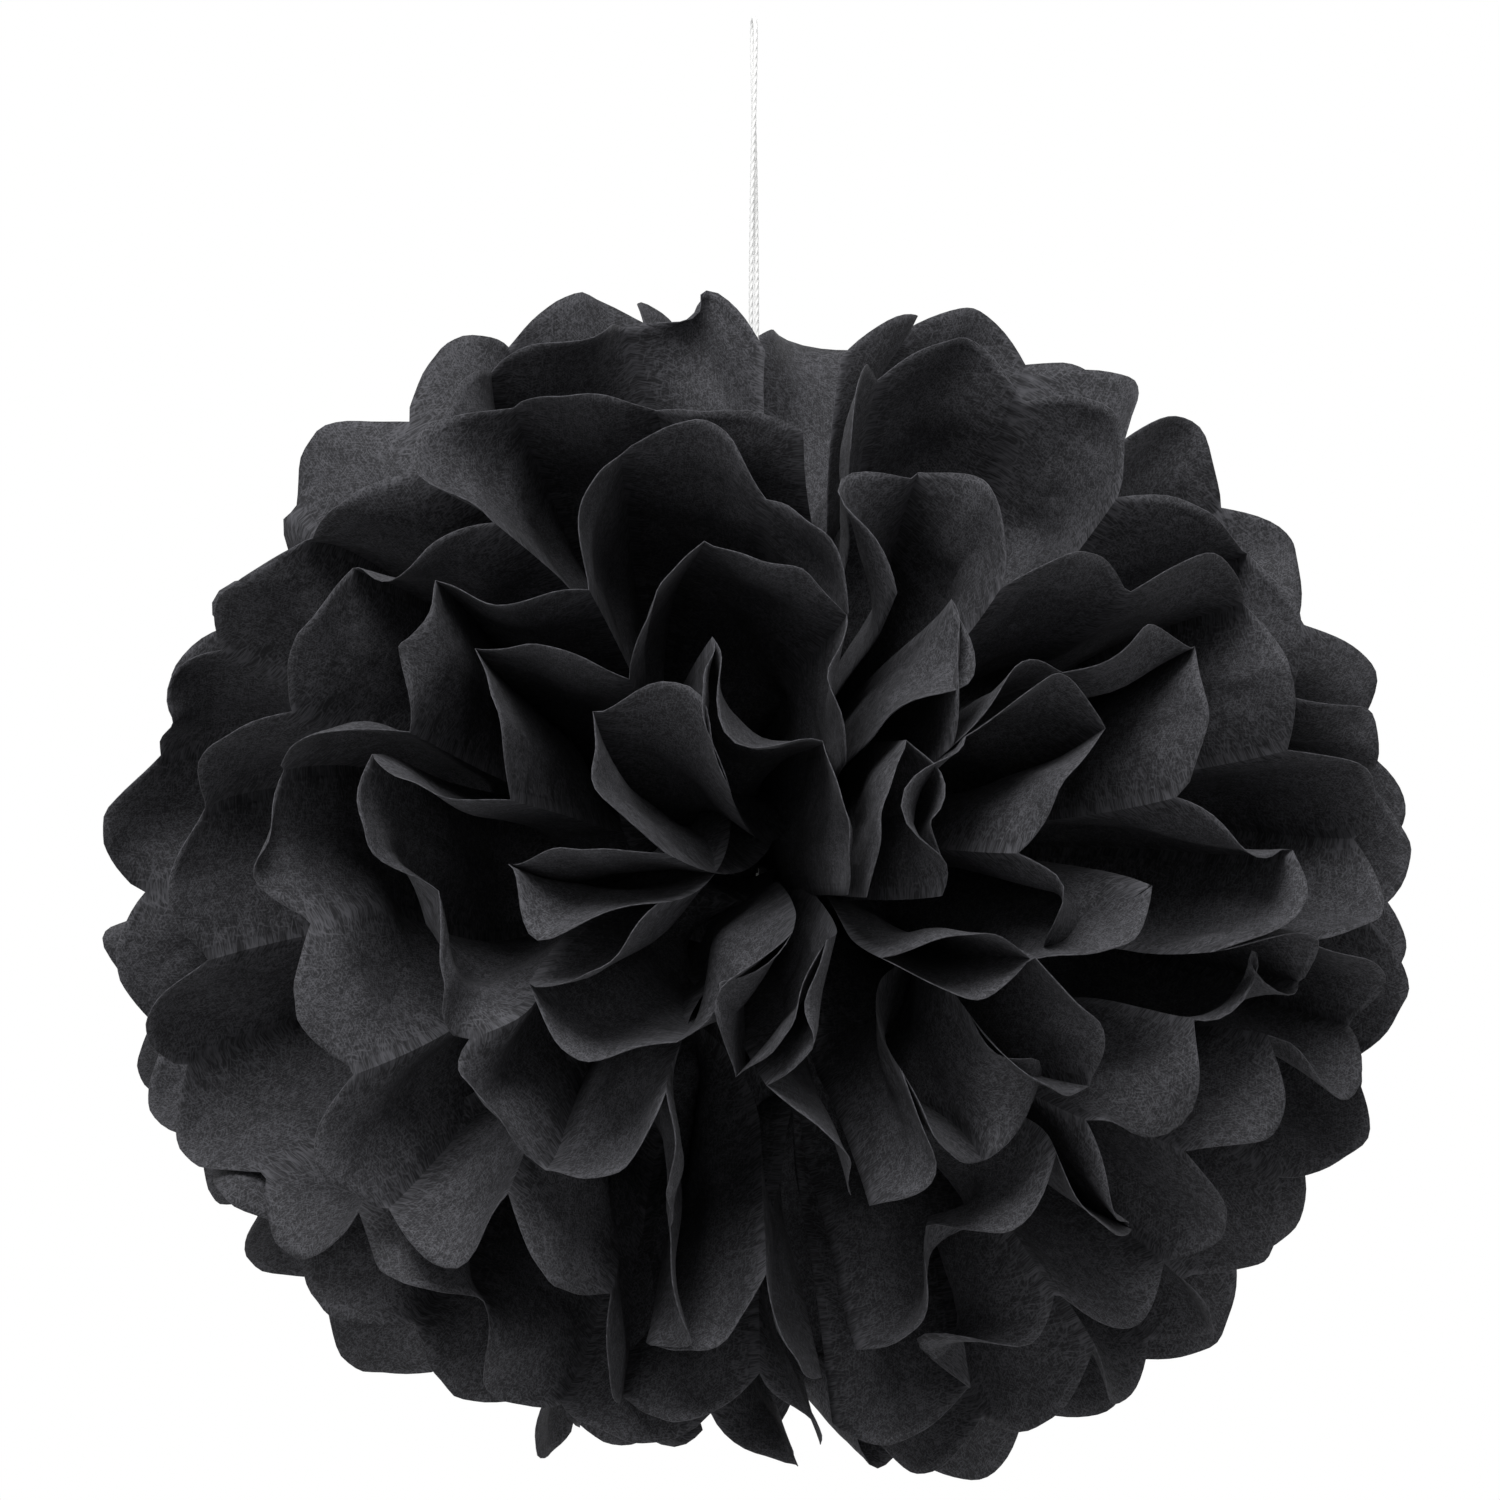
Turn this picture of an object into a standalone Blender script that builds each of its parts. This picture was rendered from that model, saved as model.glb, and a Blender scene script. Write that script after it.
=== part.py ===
"""Hanging tissue paper pom-pom: ten pleated leaves tied at the waist, on a string loop.

Each leaf is one rectangular sheet. It is folded into an accordion with round cut ends, tied across
its middle, and opened into a right and a left fan of petals. The leaves nest like cups, half of them
opening to the front (-Y) and half to the back. The opened petals lean and settle as soft paper does.
The origin is the top of the string loop.
"""

import math

import bmesh
import bpy
import numpy as np
from mathutils import Vector

# Paper
LEAF_COUNT = 10
PLEATS = 14
PLEAT_WIDTH = 0.045
LEAF_REACH = 0.200
SCALLOP_DEPTH = 0.014
PAPER_THICKNESS = 0.0003
HEIGHT_RATIO = 0.945

# Waist of the leaves, where the tie grips them, and the rings of points between waist and tips
WAIST_RADIUS = 0.009
WAIST_STEP = 0.0009
WAIST_GAP = 0.0006
THROAT_END = 0.024
GATHER_END = 0.060
BODY_START = 0.095
BODY_END = 0.135
RIM_PARTS = 3

# Opening of the leaves, in degrees from one pole to the other
POLE_GAP = 11.0
MIDDLE_GAP = 20.0
GAP_TAPER = 1.0

# Zigzag of the pleats, as shares of the pleat width and of the way to the pole
SHALLOWEST = 0.22
POLE_SHARE = 0.55
GATHER_POWER = 1.3
STEEPEST = 4.0

# How far the opened paper is disturbed by hand, and over what lengths it leans and sags
FLOP = 0.009
SLIDE = 0.003
TIP_CURL = 0.010
LEAN = 0.010
LEAN_LENGTH = 0.20
LEAN_WAVES = 4
CALM_POLES = (0.030, 0.160)
STRING_ROOM_HEIGHT = 0.030
STRING_ROOM_DEPTH = (0.004, 0.040)
SAG = 0.004
LEAST_GAP = 0.0016
INNER_GAP_SHARE = 0.3
GATHERS_HELD_TO = 0.030
WIDTH_KEPT_FROM = 0.070

# How the paper settles: pulls and firmness as shares, and the grid that it settles on
HOLD = 0.01
LOOSER_TIPS = 0.7
SLIT_HOLD = 0.15
SLIT_HOLD_FADE = 2.0
DIAGONAL = 0.5
STIFFNESS = 0.5
CREASE = 1.0
OPENNESS = 0.1
OVERSHOOT = 1.4
ROUNDS = 300
GROWING_SHARE = 0.6
GRID_ROWS = 14
SETTLED_SHARE = 0.5
SETTLED_FROM = (0.7, 1.0)

# String
STRING_DIAMETER = 0.0015
TOUCH_GAP = 0.0003
SLIT_PLAY = 0.0015
HANG_DROP = 0.264
TIE_POINTS = 24
KNOT_LENGTH = 0.005
KNOT_GROOVE = 0.0005
KNOT_WRAPS = 3
ROUNDS_PER_WRAP = 4
KNOT_SIDES = 12
MERGE_DISTANCE = 0.000001
BEVEL_RINGS = 2
STRING_POINTS = 48
STRAND_ROUTE = (
    (-0.0009, 0.0, -0.2473),
    (-0.0009, 0.0, -0.2000),
    (-0.0009, 0.0, -0.1500),
    (-0.0009, -0.0001, -0.1100),
    (-0.0009, -0.0003, -0.0850),
    (-0.0008, -0.0009, -0.0640),
    (-0.0006, -0.0017, -0.0450),
    (-0.0003, -0.0026, -0.0280),
    (-0.0001, -0.0031, -0.0150),
    (0.0, -0.0033, -0.0080),
    (0.0, -0.0030, -0.0035),
    (0.0, -0.0018, -0.0013),
)

# Hand made unevenness
SEED = 7
GAP_SPREAD = 0.20
FOLD_SPREAD = 0.08
WIDTH_SPREAD = 0.60
RIM_SHIFT = 0.25
REACH_SPREAD = 0.004
CURL_SPREAD = 3.0
MOST_CURL = 1.5
PETAL_BULGE = 0.0025

# Shortest and longest waves of the unevenness, counted in folds
GAP_WAVES = (5.0, 12.0)
SHIFT_WAVES = (7.0, 16.0)
FLOP_WAVES = (3.0, 9.0)

FOLDS = PLEATS + 1
PLEAT_ANGLE = math.pi / PLEATS
LEAF_PITCH = PAPER_THICKNESS + WAIST_GAP
STRING_RADIUS = STRING_DIAMETER / 2
SLIT_HALF_WIDTH = STRING_RADIUS + SLIT_PLAY
HUB = Vector((0.0, 0.0, -HANG_DROP))
FRONT_FACE = -0.5
BACK_FACE = 0.5
TINY = 1e-12


def material(name, colour, roughness):
    """A plain finish of one colour."""
    finish = bpy.data.materials.new(name)
    finish.use_nodes = True
    shader = finish.node_tree.nodes["Principled BSDF"]
    shader.inputs["Base Color"].default_value = (*colour, 1.0)
    shader.inputs["Roughness"].default_value = roughness
    shader.inputs["Metallic"].default_value = 0.0
    return finish


def add_object(name, data, finish):
    """Puts a mesh or a curve in the scene under its own name."""
    data.materials.append(finish)
    piece = bpy.data.objects.new(name, data)
    bpy.context.scene.collection.objects.link(piece)
    return piece


def ease(value, start, end):
    """Rises smoothly from 0 at start to 1 at end."""
    share = np.clip((value - start) / (end - start), 0.0, 1.0)
    return share * share * (3.0 - 2.0 * share)


def unit(vectors):
    """The same vectors at length 1."""
    return vectors / (np.linalg.norm(vectors, axis=-1, keepdims=True) + TINY)


def wander(rng, shortest, longest, waves=3):
    """A smooth random curve over the folds, about one unit either way."""
    folds = np.arange(FOLDS)
    total = np.zeros(FOLDS)
    for _ in range(waves):
        length = rng.uniform(shortest, longest)
        total += np.sin(2.0 * np.pi * (folds / length + rng.random()))
    return total / math.sqrt(waves)


def pleats_in(parts):
    """Places along the rim, counted in pleats, with this many parts to a pleat."""
    return np.arange(parts * PLEATS + 1) / parts


def per_leaf(values):
    """One value for each leaf, shaped to go with grids of leaf, row and column."""
    return np.asarray(values, dtype=float)[:, None, None]


# The leaves nearest the poles have the smallest waists, so that the cups nest
FROM_MIDDLE = np.arange(LEAF_COUNT) - (LEAF_COUNT - 1) / 2
WAIST_PLACE = per_leaf(FROM_MIDDLE * LEAF_PITCH)
WAIST = per_leaf(WAIST_RADIUS - WAIST_STEP * (np.abs(FROM_MIDDLE) - 0.5))


class Fans:
    """The petals on one side of the slits: where every fold of every leaf lies."""

    def __init__(self, side, rng):
        self.side = side
        gaps = np.array([self.mean_gap(place) for place in range(LEAF_COUNT + 1)])
        spread = np.array([
            GAP_SPREAD * wander(rng, *GAP_WAVES) + FOLD_SPREAD * rng.standard_normal(FOLDS)
            for _ in gaps
        ])
        opened = gaps[:, None] * np.exp(spread)
        opened *= math.pi / opened.sum(axis=0)
        self.polar = np.cumsum(opened, axis=0)[:-1, None, :]
        widths = np.exp(WIDTH_SPREAD * rng.uniform(-1.0, 1.0, PLEATS))
        turned = np.concatenate([[0.0], np.cumsum(widths)]) * math.pi / widths.sum()
        even = PLEAT_ANGLE * np.arange(FOLDS)
        slack = 1.0 - np.sin(self.polar.mean(axis=2))
        self.azimuth = (math.pi / 2 - even - slack * (turned - even))[:, None, :]
        self.shift = np.array([
            RIM_SHIFT * PLEAT_ANGLE * wander(rng, *SHIFT_WAVES) for _ in range(LEAF_COUNT)
        ])[:, None, :]
        self.shift[..., 0] = -np.abs(self.shift[..., 0])
        self.shift[..., -1] = np.abs(self.shift[..., -1])
        self.reach = LEAF_REACH - REACH_SPREAD * rng.random((LEAF_COUNT, PLEATS))
        self.curl = np.radians(CURL_SPREAD) * np.clip(
            rng.standard_normal((LEAF_COUNT, PLEATS)), -MOST_CURL, MOST_CURL
        )

    def mean_gap(self, place):
        """Mean opening, in degrees, between two leaves that lie next to each other."""
        if place in (0, LEAF_COUNT):
            return POLE_GAP
        return MIDDLE_GAP - GAP_TAPER * abs(LEAF_COUNT / 2 - place)

    def cut_distance(self, pleat):
        """Distance of the scalloped end: full reach in mid petal, a notch at each fold."""
        petal = np.minimum(pleat.astype(int), PLEATS - 1)
        from_middle = 2.0 * (pleat - petal) - 1.0
        round_end = np.sqrt(1.0 - from_middle ** 2)
        return (self.reach[:, petal] - SCALLOP_DEPTH * (1.0 - round_end))[:, None, :]

    def turn(self, fold, radius):
        """Azimuth of folds at these distances from the waist."""
        return self.azimuth[..., fold] + ease(radius, GATHER_END, LEAF_REACH) * self.shift[..., fold]

    def fold_line(self, fold, radius, face):
        """Polar angle and azimuth of folds at these distances from the waist.

        A pleat keeps its width as the fan opens, so what it spans round the pole it loses in depth.
        The steeper its panels are, the farther a face moves to keep the paper's thickness.
        """
        turn = self.turn(fold, radius)
        before = self.turn(np.maximum(fold - 1, 0), radius) - turn
        after = turn - self.turn(np.minimum(fold + 1, PLEATS), radius)
        span = np.where(fold == 0, after, np.where(fold == PLEATS, before, (before + after) / 2))
        polar = self.polar[..., fold]
        opened = radius * np.sin(polar) * span
        depth = np.sqrt(np.maximum(PLEAT_WIDTH ** 2 - opened ** 2, (SHALLOWEST * PLEAT_WIDTH) ** 2))
        to_pole = np.minimum(polar, np.pi - polar)
        clear_of_pole = to_pole - np.arcsin(np.minimum(WAIST / radius, 1.0))
        half = np.minimum(np.minimum(depth / 2, radius * POLE_SHARE * to_pole), radius * clear_of_pole)
        gathered = np.clip((radius - WAIST) / (GATHER_END - WAIST), 0.0, 1.0) ** GATHER_POWER
        half = np.maximum(half, 0.0) * gathered
        steepness = np.minimum(np.hypot(opened, 2.0 * half) / opened, STEEPEST)
        outward = np.where(fold % 2 == 1, half, -half) + face * PAPER_THICKNESS * steepness
        return polar + outward / radius, turn

    def place(self, polar, turn, radius):
        """World places for directions and distances from the waists."""
        out = radius * np.sin(polar)
        return np.stack([
            self.side * (SLIT_HALF_WIDTH + out * np.cos(turn)),
            WAIST_PLACE - radius * np.cos(polar),
            HUB.z + HEIGHT_RATIO * out * np.sin(turn),
        ], axis=-1)

    def tied(self, pleat, face=0.0):
        """World places on the edge of the flat waists."""
        corner = face * PAPER_THICKNESS * np.cos(self.polar[..., pleat.astype(int)])
        level = math.pi / 2 - PLEAT_ANGLE * pleat + 0.0 * corner
        places = self.place(np.full_like(level, math.pi / 2), level, WAIST + corner)
        places[..., 1] += face * PAPER_THICKNESS
        return places

    def opened(self, distance, pleat, face=0.0):
        """World places beyond the throat, folded and opened but not yet settled."""
        fold = np.minimum(pleat.astype(int), PLEATS - 1)
        share = pleat - fold
        radius = np.maximum(distance, THROAT_END)
        polar_a, turn_a = self.fold_line(fold, radius, face)
        polar_b, turn_b = self.fold_line(fold + 1, radius, face)
        crown = 4.0 * share * (1.0 - share)
        bulge = crown * PETAL_BULGE * ease(radius, THROAT_END, BODY_END) / radius
        curl = crown * self.curl[:, None, fold] * ease(radius, BODY_END, LEAF_REACH)
        polar = polar_a + (polar_b - polar_a) * share + bulge + curl
        return self.place(polar, turn_a + (turn_b - turn_a) * share, radius)


class Paper:
    """Both fans of every leaf as grids of points: side, leaf, row and column, two cells to a pleat."""

    def __init__(self, fans):
        self.fans = fans
        self.pleat = pleats_in(2)
        self.signs = np.array([side.side for side in fans])[:, None, None, None, None]
        rows = (np.arange(GRID_ROWS + 1) / GRID_ROWS)[:, None]
        self.distance = WAIST + (LEAF_REACH - WAIST) * rows + 0.0 * self.pleat
        loose = np.clip((self.distance - WAIST) / (THROAT_END - WAIST), 0.0, 1.0)[..., None]
        tied = np.stack([side.tied(self.pleat) for side in fans])
        opened = np.stack([side.opened(self.distance, self.pleat) for side in fans])
        self.folded = tied + (opened - tied) * loose
        self.points = self.folded.copy()
        self.out = ease(self.distance, THROAT_END, LEAF_REACH)[..., None]
        self.free = ease(self.distance, THROAT_END, GATHER_END)[..., None]

    def disturb(self, rng):
        """Flops and curls petals by hand, and leans neighbouring petals the same way."""
        fold = np.minimum(self.pleat.astype(int), PLEATS - 1)
        share = self.pleat - fold
        crown = 4.0 * share * (1.0 - share)
        bend = ease(self.distance, GATHER_END, LEAF_REACH)
        tip = ease(self.distance, BODY_END, LEAF_REACH)
        flop = self.draw_waves(rng)
        slide = self.draw_waves(rng)
        curl = rng.standard_normal((2, LEAF_COUNT, 1, PLEATS))
        flop = flop[..., fold] * (1.0 - share) + flop[..., fold + 1] * share
        slide = slide[..., fold] * (1.0 - share) + slide[..., fold + 1] * share
        lift = FLOP * flop * bend + TIP_CURL * curl[..., fold] * crown * tip
        aside = SLIDE * slide * bend
        self.points += self.normals() * lift[..., None] + self.sideways() * aside[..., None]
        self.waves = [
            (
                unit(rng.standard_normal(3) * (axis != 0 or np.array((0.0, 1.0, 1.0)))) * 2.0 * np.pi
                / rng.uniform(LEAN_LENGTH, 2.0 * LEAN_LENGTH),
                2.0 * np.pi * rng.random(),
                axis,
            )
            for axis in (0, 1, 2) for _ in range(LEAN_WAVES)
        ]
        self.points += self.lean(self.points)

    def draw_waves(self, rng):
        """One random curve over the folds for each side of each leaf."""
        waves = [[wander(rng, *FLOP_WAVES) for _ in range(LEAF_COUNT)] for _ in self.fans]
        return np.array(waves)[:, :, None]

    def lean(self, points):
        """How far the petals lean at these places. Above the hub the string's room stays clear."""
        total = np.zeros_like(points)
        for wave, phase, axis in self.waves:
            total[..., axis] += np.sin(points @ wave + phase)
        from_hub = np.linalg.norm(points - np.array(HUB), axis=-1)
        amount = LEAN * math.sqrt(2.0 / LEAN_WAVES) * ease(from_hub, GATHER_END / 2, LEAF_REACH)
        aside = np.linalg.norm((points - np.array(HUB))[..., (0, 2)], axis=-1)
        amount = amount * ease(aside, *CALM_POLES)
        above = ease(points[..., 2], HUB.z, HUB.z + STRING_ROOM_HEIGHT)
        beside = ease(np.abs(points[..., 1]), *STRING_ROOM_DEPTH)
        return total * (amount * (1.0 - above * (1.0 - beside)))[..., None]

    def sideways(self):
        """Directions across the pleats."""
        return unit(np.gradient(self.points, axis=3))

    def normals(self):
        """Directions square to the paper, towards the next leaf to the back."""
        outwards = unit(np.gradient(self.points, axis=2))
        return unit(np.cross(outwards, self.sideways())) * self.signs

    def links(self):
        """Pairs of grid points with their distances now and in the sheet, and how firmly they keep."""
        last = 2 * PLEATS
        settled = ease(self.distance, GATHERS_HELD_TO, WIDTH_KEPT_FROM)
        links = []
        for rows, cols, firmness in (
            (1, 0, 1.0), (0, 1, 1.0), (1, 1, DIAGONAL), (1, -1, DIAGONAL), (2, 0, STIFFNESS),
            (0, 2, STIFFNESS),
        ):
            left = slice(max(-cols, 0), last + 1 - max(cols, 0))
            right = slice(max(cols, 0), last + 1 - max(-cols, 0))
            start = (..., slice(0, GRID_ROWS + 1 - rows), left)
            end = (..., slice(rows, None), right)
            now = self.gap(start, end, self.points)
            wide = np.abs(self.pleat[right] - self.pleat[left]) * PLEAT_WIDTH
            keep = settled[start]
            if cols == 0:
                rest = self.gap(start, end, self.folded)
            elif rows == 0:
                rest = now + (wide - now) * keep
            else:
                tall = self.gap(start, (start[0], end[1], start[2]), self.folded)
                rest = now + (np.hypot(wide, tall) - now) * keep
            firm = np.full(rest.shape + (1,), firmness)
            if cols == 2:
                over_fold = (np.arange(last + 1)[left] + 1) % 2 == 0
                rest = np.where(over_fold, now + (rest - now) * OPENNESS, rest)
                firm[..., over_fold, :] = CREASE
            if rows == 2:
                firm[..., ::2, :] = CREASE
            links.append((start, end, now, rest, firm))
        return links

    @staticmethod
    def gap(start, end, grid):
        """Distances between the points of two shifted grids."""
        point = (slice(None),)
        return np.linalg.norm(grid[end + point] - grid[start + point], axis=-1)

    def settle(self):
        """Lets the disturbed sheets find shapes that neither stretch nor pass through each other."""
        links = self.links()
        point = (slice(None),)
        count = np.zeros(self.distance.shape + (1,))
        for start, end, _, _, firm in links:
            count[start + point] += firm[0, 0]
            count[end + point] += firm[0, 0]
        home = self.points.copy()
        from_slit = np.minimum(self.pleat, PLEATS - self.pleat)[:, None]
        hold = HOLD * (1.0 - LOOSER_TIPS * self.out) + SLIT_HOLD * np.exp(-SLIT_HOLD_FADE * from_slit)
        for turn in range(ROUNDS):
            grown = min(turn / (GROWING_SHARE * ROUNDS), 1.0)
            shift = np.zeros_like(self.points)
            for start, end, now, rest, firm in links:
                apart = self.points[end + point] - self.points[start + point]
                length = np.linalg.norm(apart, axis=-1)
                aim = now + (rest - now) * grown
                move = apart * firm * (0.5 - 0.5 * aim / length)[..., None]
                shift[start + point] += move
                shift[end + point] -= move
            self.points += self.free * (OVERSHOOT * shift / count + hold * (home - self.points))
            self.points[..., 2] -= (SAG * hold * self.out)[..., 0]
            self.keep_apart()

    def keep_apart(self):
        """Pushes neighbouring leaves, and the two fans at the slits, clear of each other."""
        normals = self.normals()
        least = LEAST_GAP * (INNER_GAP_SHARE + (1.0 - INNER_GAP_SHARE) * self.out[1:])
        facing = unit(normals[:, 1:] + normals[:, :-1])
        apart = np.sum((self.points[:, 1:] - self.points[:, :-1]) * facing, axis=-1, keepdims=True)
        alike = np.clip(np.sum(normals[:, 1:] * normals[:, :-1], axis=-1, keepdims=True), 0.0, 1.0)
        push = alike * np.clip(0.5 * (least - apart), 0.0, LEAST_GAP) * facing
        self.points[:, 1:] += self.free[1:] * push
        self.points[:, :-1] -= self.free[:-1] * push
        signs = self.signs[..., 0]
        across = (self.points[..., 0] - self.lean(self.points)[..., 0]) * signs
        self.points[..., 0] += np.maximum(SLIT_HALF_WIDTH - across, 0.0) * signs
        middle = np.array(HUB) + WAIST_PLACE[..., None] * (0, 1, 0)
        away = (self.points - middle) / (1.0, 1.0, HEIGHT_RATIO)
        farthest = np.linalg.norm(away, axis=-1) / (self.distance + SLIT_HALF_WIDTH)
        self.points = middle + (self.points - middle) / np.maximum(farthest, 1.0)[..., None]

    def settled(self, side, distance, pleat):
        """How far settling has moved one side's leaning paper at these places."""
        change = (self.points - self.folded - self.lean(self.folded))[side]
        row = np.clip((distance - WAIST) / (LEAF_REACH - WAIST) * GRID_ROWS, 0.0, GRID_ROWS)
        row = np.broadcast_to(row, (LEAF_COUNT, 1, len(pleat)))
        below = np.minimum(row.astype(int), GRID_ROWS - 1)
        share = (row - below)[..., None]
        fold = np.minimum(pleat.astype(int), PLEATS - 1)
        across = (pleat - fold)[:, None]
        near_weight = 2.0 * (across - 0.5) * (across - 1.0)
        crown = 4.0 * across * (1.0 - across)
        far_weight = 2.0 * across * (across - 0.5)
        leaf = np.arange(LEAF_COUNT)[:, None, None]
        total = 0.0
        for column, weight in enumerate((near_weight, crown, far_weight)):
            near = change[leaf, below, 2 * fold + column]
            far = change[leaf, below + 1, 2 * fold + column]
            total = total + weight * (near + (far - near) * share)
        polar = self.fans[side].polar.mean(axis=2)
        return total * (SETTLED_SHARE * ease(np.sin(polar), *SETTLED_FROM))[..., None, None]

    def rows(self, side, face):
        """One fan of every leaf, as rows of places from the waist to the scalloped end."""
        fans = self.fans[side]
        rim = pleats_in(RIM_PARTS)
        rows = [fans.tied(pleats_in(1), face)]
        for distance, pleat in (
            (per_leaf([THROAT_END]), pleats_in(1)), (per_leaf([GATHER_END]), pleats_in(1)),
            (per_leaf([BODY_START]), pleats_in(1)),
            (per_leaf([BODY_END]), pleats_in(2)), (fans.cut_distance(rim), rim),
        ):
            opened = fans.opened(distance, pleat, face)
            rows.append(opened + self.lean(opened) + self.settled(side, distance, pleat))
        return [row[:, 0] for row in rows]


def stitch(mesh, inner, outer):
    """Joins two rows of one sheet, pleat by pleat, whatever parts each row has to a pleat."""
    near = (len(inner) - 1) // PLEATS
    far = (len(outer) - 1) // PLEATS
    for pleat in range(PLEATS):
        a, b = pleat * near, pleat * far
        while a < (pleat + 1) * near or b < (pleat + 1) * far:
            near_next = (a - pleat * near + 1) / near
            far_next = (b - pleat * far + 1) / far
            if far_next < near_next or (near == far and pleat % 2 and b == a):
                mesh.faces.new([inner[a], outer[b], outer[b + 1]])
                b += 1
            else:
                mesh.faces.new([inner[a], outer[b], inner[a + 1]])
                a += 1


def add_sheet(mesh, sides):
    """One face of a leaf, from the right tips over the waist to the left tips."""
    sheet = []
    waists = []
    for rows in sides:
        rows = [[mesh.verts.new(point) for point in row] for row in rows]
        for inner, outer in zip(rows, rows[1:]):
            stitch(mesh, inner, outer)
        waists.append(rows[0])
        sheet += [vertex for row in rows for vertex in row]
    stitch(mesh, *waists)
    return sheet


def build_leaf(leaf, faces, finish):
    """A front and a back face, closed along the cut edges."""
    mesh = bmesh.new()
    front, back = ([[row[leaf] for row in rows] for rows in sides] for sides in faces)
    front = add_sheet(mesh, front)
    cut_edges = [edge for edge in mesh.edges if edge.is_boundary]
    back = add_sheet(mesh, back)
    behind = dict(zip(front, back))
    for edge in cut_edges:
        start, end = edge.verts
        mesh.faces.new([start, end, behind[end], behind[start]])
    bmesh.ops.recalc_face_normals(mesh, faces=mesh.faces[:])
    data = bpy.data.meshes.new(f"leaf_{leaf + 1:02d}")
    mesh.to_mesh(data)
    mesh.free()
    return add_object(data.name, data, finish)


def add_tube(name, points, closed, finish):
    """A string of round section along a row of points."""
    data = bpy.data.curves.new(name, "CURVE")
    data.dimensions = "3D"
    data.bevel_depth = STRING_RADIUS
    data.bevel_resolution = BEVEL_RINGS
    data.use_fill_caps = not closed
    spline = data.splines.new("POLY")
    spline.points.add(len(points) - 1)
    for place, point in zip(spline.points, points):
        place.co = (*point, 1.0)
    spline.use_cyclic_u = closed
    return add_object(name, data, finish)


def waist_corners():
    """The stack of waists in the plane of the slits: its corners as (y, z) from the hub."""
    corners = []
    for place, waist in zip(WAIST_PLACE.ravel(), WAIST.ravel()):
        for face in (FRONT_FACE, BACK_FACE):
            y = place + face * PAPER_THICKNESS
            corners += [(y, HEIGHT_RATIO * waist), (y, -HEIGHT_RATIO * waist)]
    return corners


def tie_route():
    """The tie is pulled tight round the stack: its middle line keeps clear of every corner."""
    corners = waist_corners()
    away = STRING_RADIUS + TOUCH_GAP
    route = []
    for step in range(TIE_POINTS):
        turn = 2.0 * math.pi * (step + 0.5) / TIE_POINTS
        out_y, out_z = math.cos(turn), math.sin(turn)
        y, z = max(corners, key=lambda corner: corner[0] * out_y + corner[1] * out_z)
        route.append(HUB + Vector((0.0, y + away * out_y, z + away * out_z)))
    return route


def build_knot(finish):
    """A small wrapped knot, turned from its outline: one round for each wrap."""
    rounds = ROUNDS_PER_WRAP * KNOT_WRAPS
    widest = SLIT_HALF_WIDTH - TOUCH_GAP
    foot = HUB.z + HEIGHT_RATIO * WAIST_RADIUS + 2.0 * (STRING_RADIUS + TOUCH_GAP)
    mesh = bmesh.new()
    outline = []
    for step in range(rounds + 1):
        along = step / rounds
        swell = abs(math.sin(math.pi * KNOT_WRAPS * along))
        ends = 1.0 if 0 < step < rounds else 0.0
        radius = ends * (widest - KNOT_GROOVE * (1.0 - swell))
        outline.append(mesh.verts.new((radius, 0.0, foot + KNOT_LENGTH * along)))
    edges = [mesh.edges.new(pair) for pair in zip(outline, outline[1:])]
    bmesh.ops.spin(
        mesh, geom=outline + edges, cent=(0.0, 0.0, 0.0), axis=(0.0, 0.0, 1.0),
        angle=2.0 * math.pi, steps=KNOT_SIDES, use_merge=True,
    )
    bmesh.ops.remove_doubles(mesh, verts=mesh.verts[:], dist=MERGE_DISTANCE)
    bmesh.ops.recalc_face_normals(mesh, faces=mesh.faces[:])
    data = bpy.data.meshes.new("tie_knot")
    mesh.to_mesh(data)
    mesh.free()
    data.shade_smooth()
    return add_object("tie_knot", data, finish)


def smooth_route(route, count):
    """Points read from a smooth curve through the route's own points."""
    route = [Vector(point) for point in route]
    padded = [2.0 * route[0] - route[1], *route, 2.0 * route[-1] - route[-2]]
    points = []
    for step in range(count):
        place = step / (count - 1) * (len(route) - 1)
        span = min(int(place), len(route) - 2)
        t = place - span
        a, b, c, d = padded[span:span + 4]
        points.append(0.5 * (
            2.0 * b + (c - a) * t
            + (2.0 * a - 5.0 * b + 4.0 * c - d) * t ** 2
            + (3.0 * b - a - 3.0 * c + d) * t ** 3
        ))
    return points


def string_route():
    """Up one strand, over the bight and down the other strand."""
    bight = (0.0, 0.0, -STRING_RADIUS)
    down = [(-x, -y, z) for x, y, z in reversed(STRAND_ROUTE)]
    return smooth_route([*STRAND_ROUTE, bight, *down], STRING_POINTS + 1)


def main():
    for old in list(bpy.data.objects):
        bpy.data.objects.remove(old, do_unlink=True)
    paper = material("black tissue paper", (0.012, 0.012, 0.013), 0.85)
    cotton = material("white cotton string", (0.75, 0.75, 0.74), 0.8)
    rng = np.random.default_rng(SEED)
    sheets = Paper((Fans(1.0, rng), Fans(-1.0, rng)))
    sheets.disturb(rng)
    sheets.settle()
    faces = [[sheets.rows(side, face) for side in (0, 1)] for face in (FRONT_FACE, BACK_FACE)]
    for leaf in range(LEAF_COUNT):
        build_leaf(leaf, faces, paper)
    add_tube("waist_tie", tie_route(), True, cotton)
    build_knot(cotton)
    add_tube("hanging_string", string_route(), False, cotton)


main()
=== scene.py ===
"""Dresses the hanging tissue paper pom-pom: pleated and settled leaves, twisted string, soft studio."""

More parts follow.
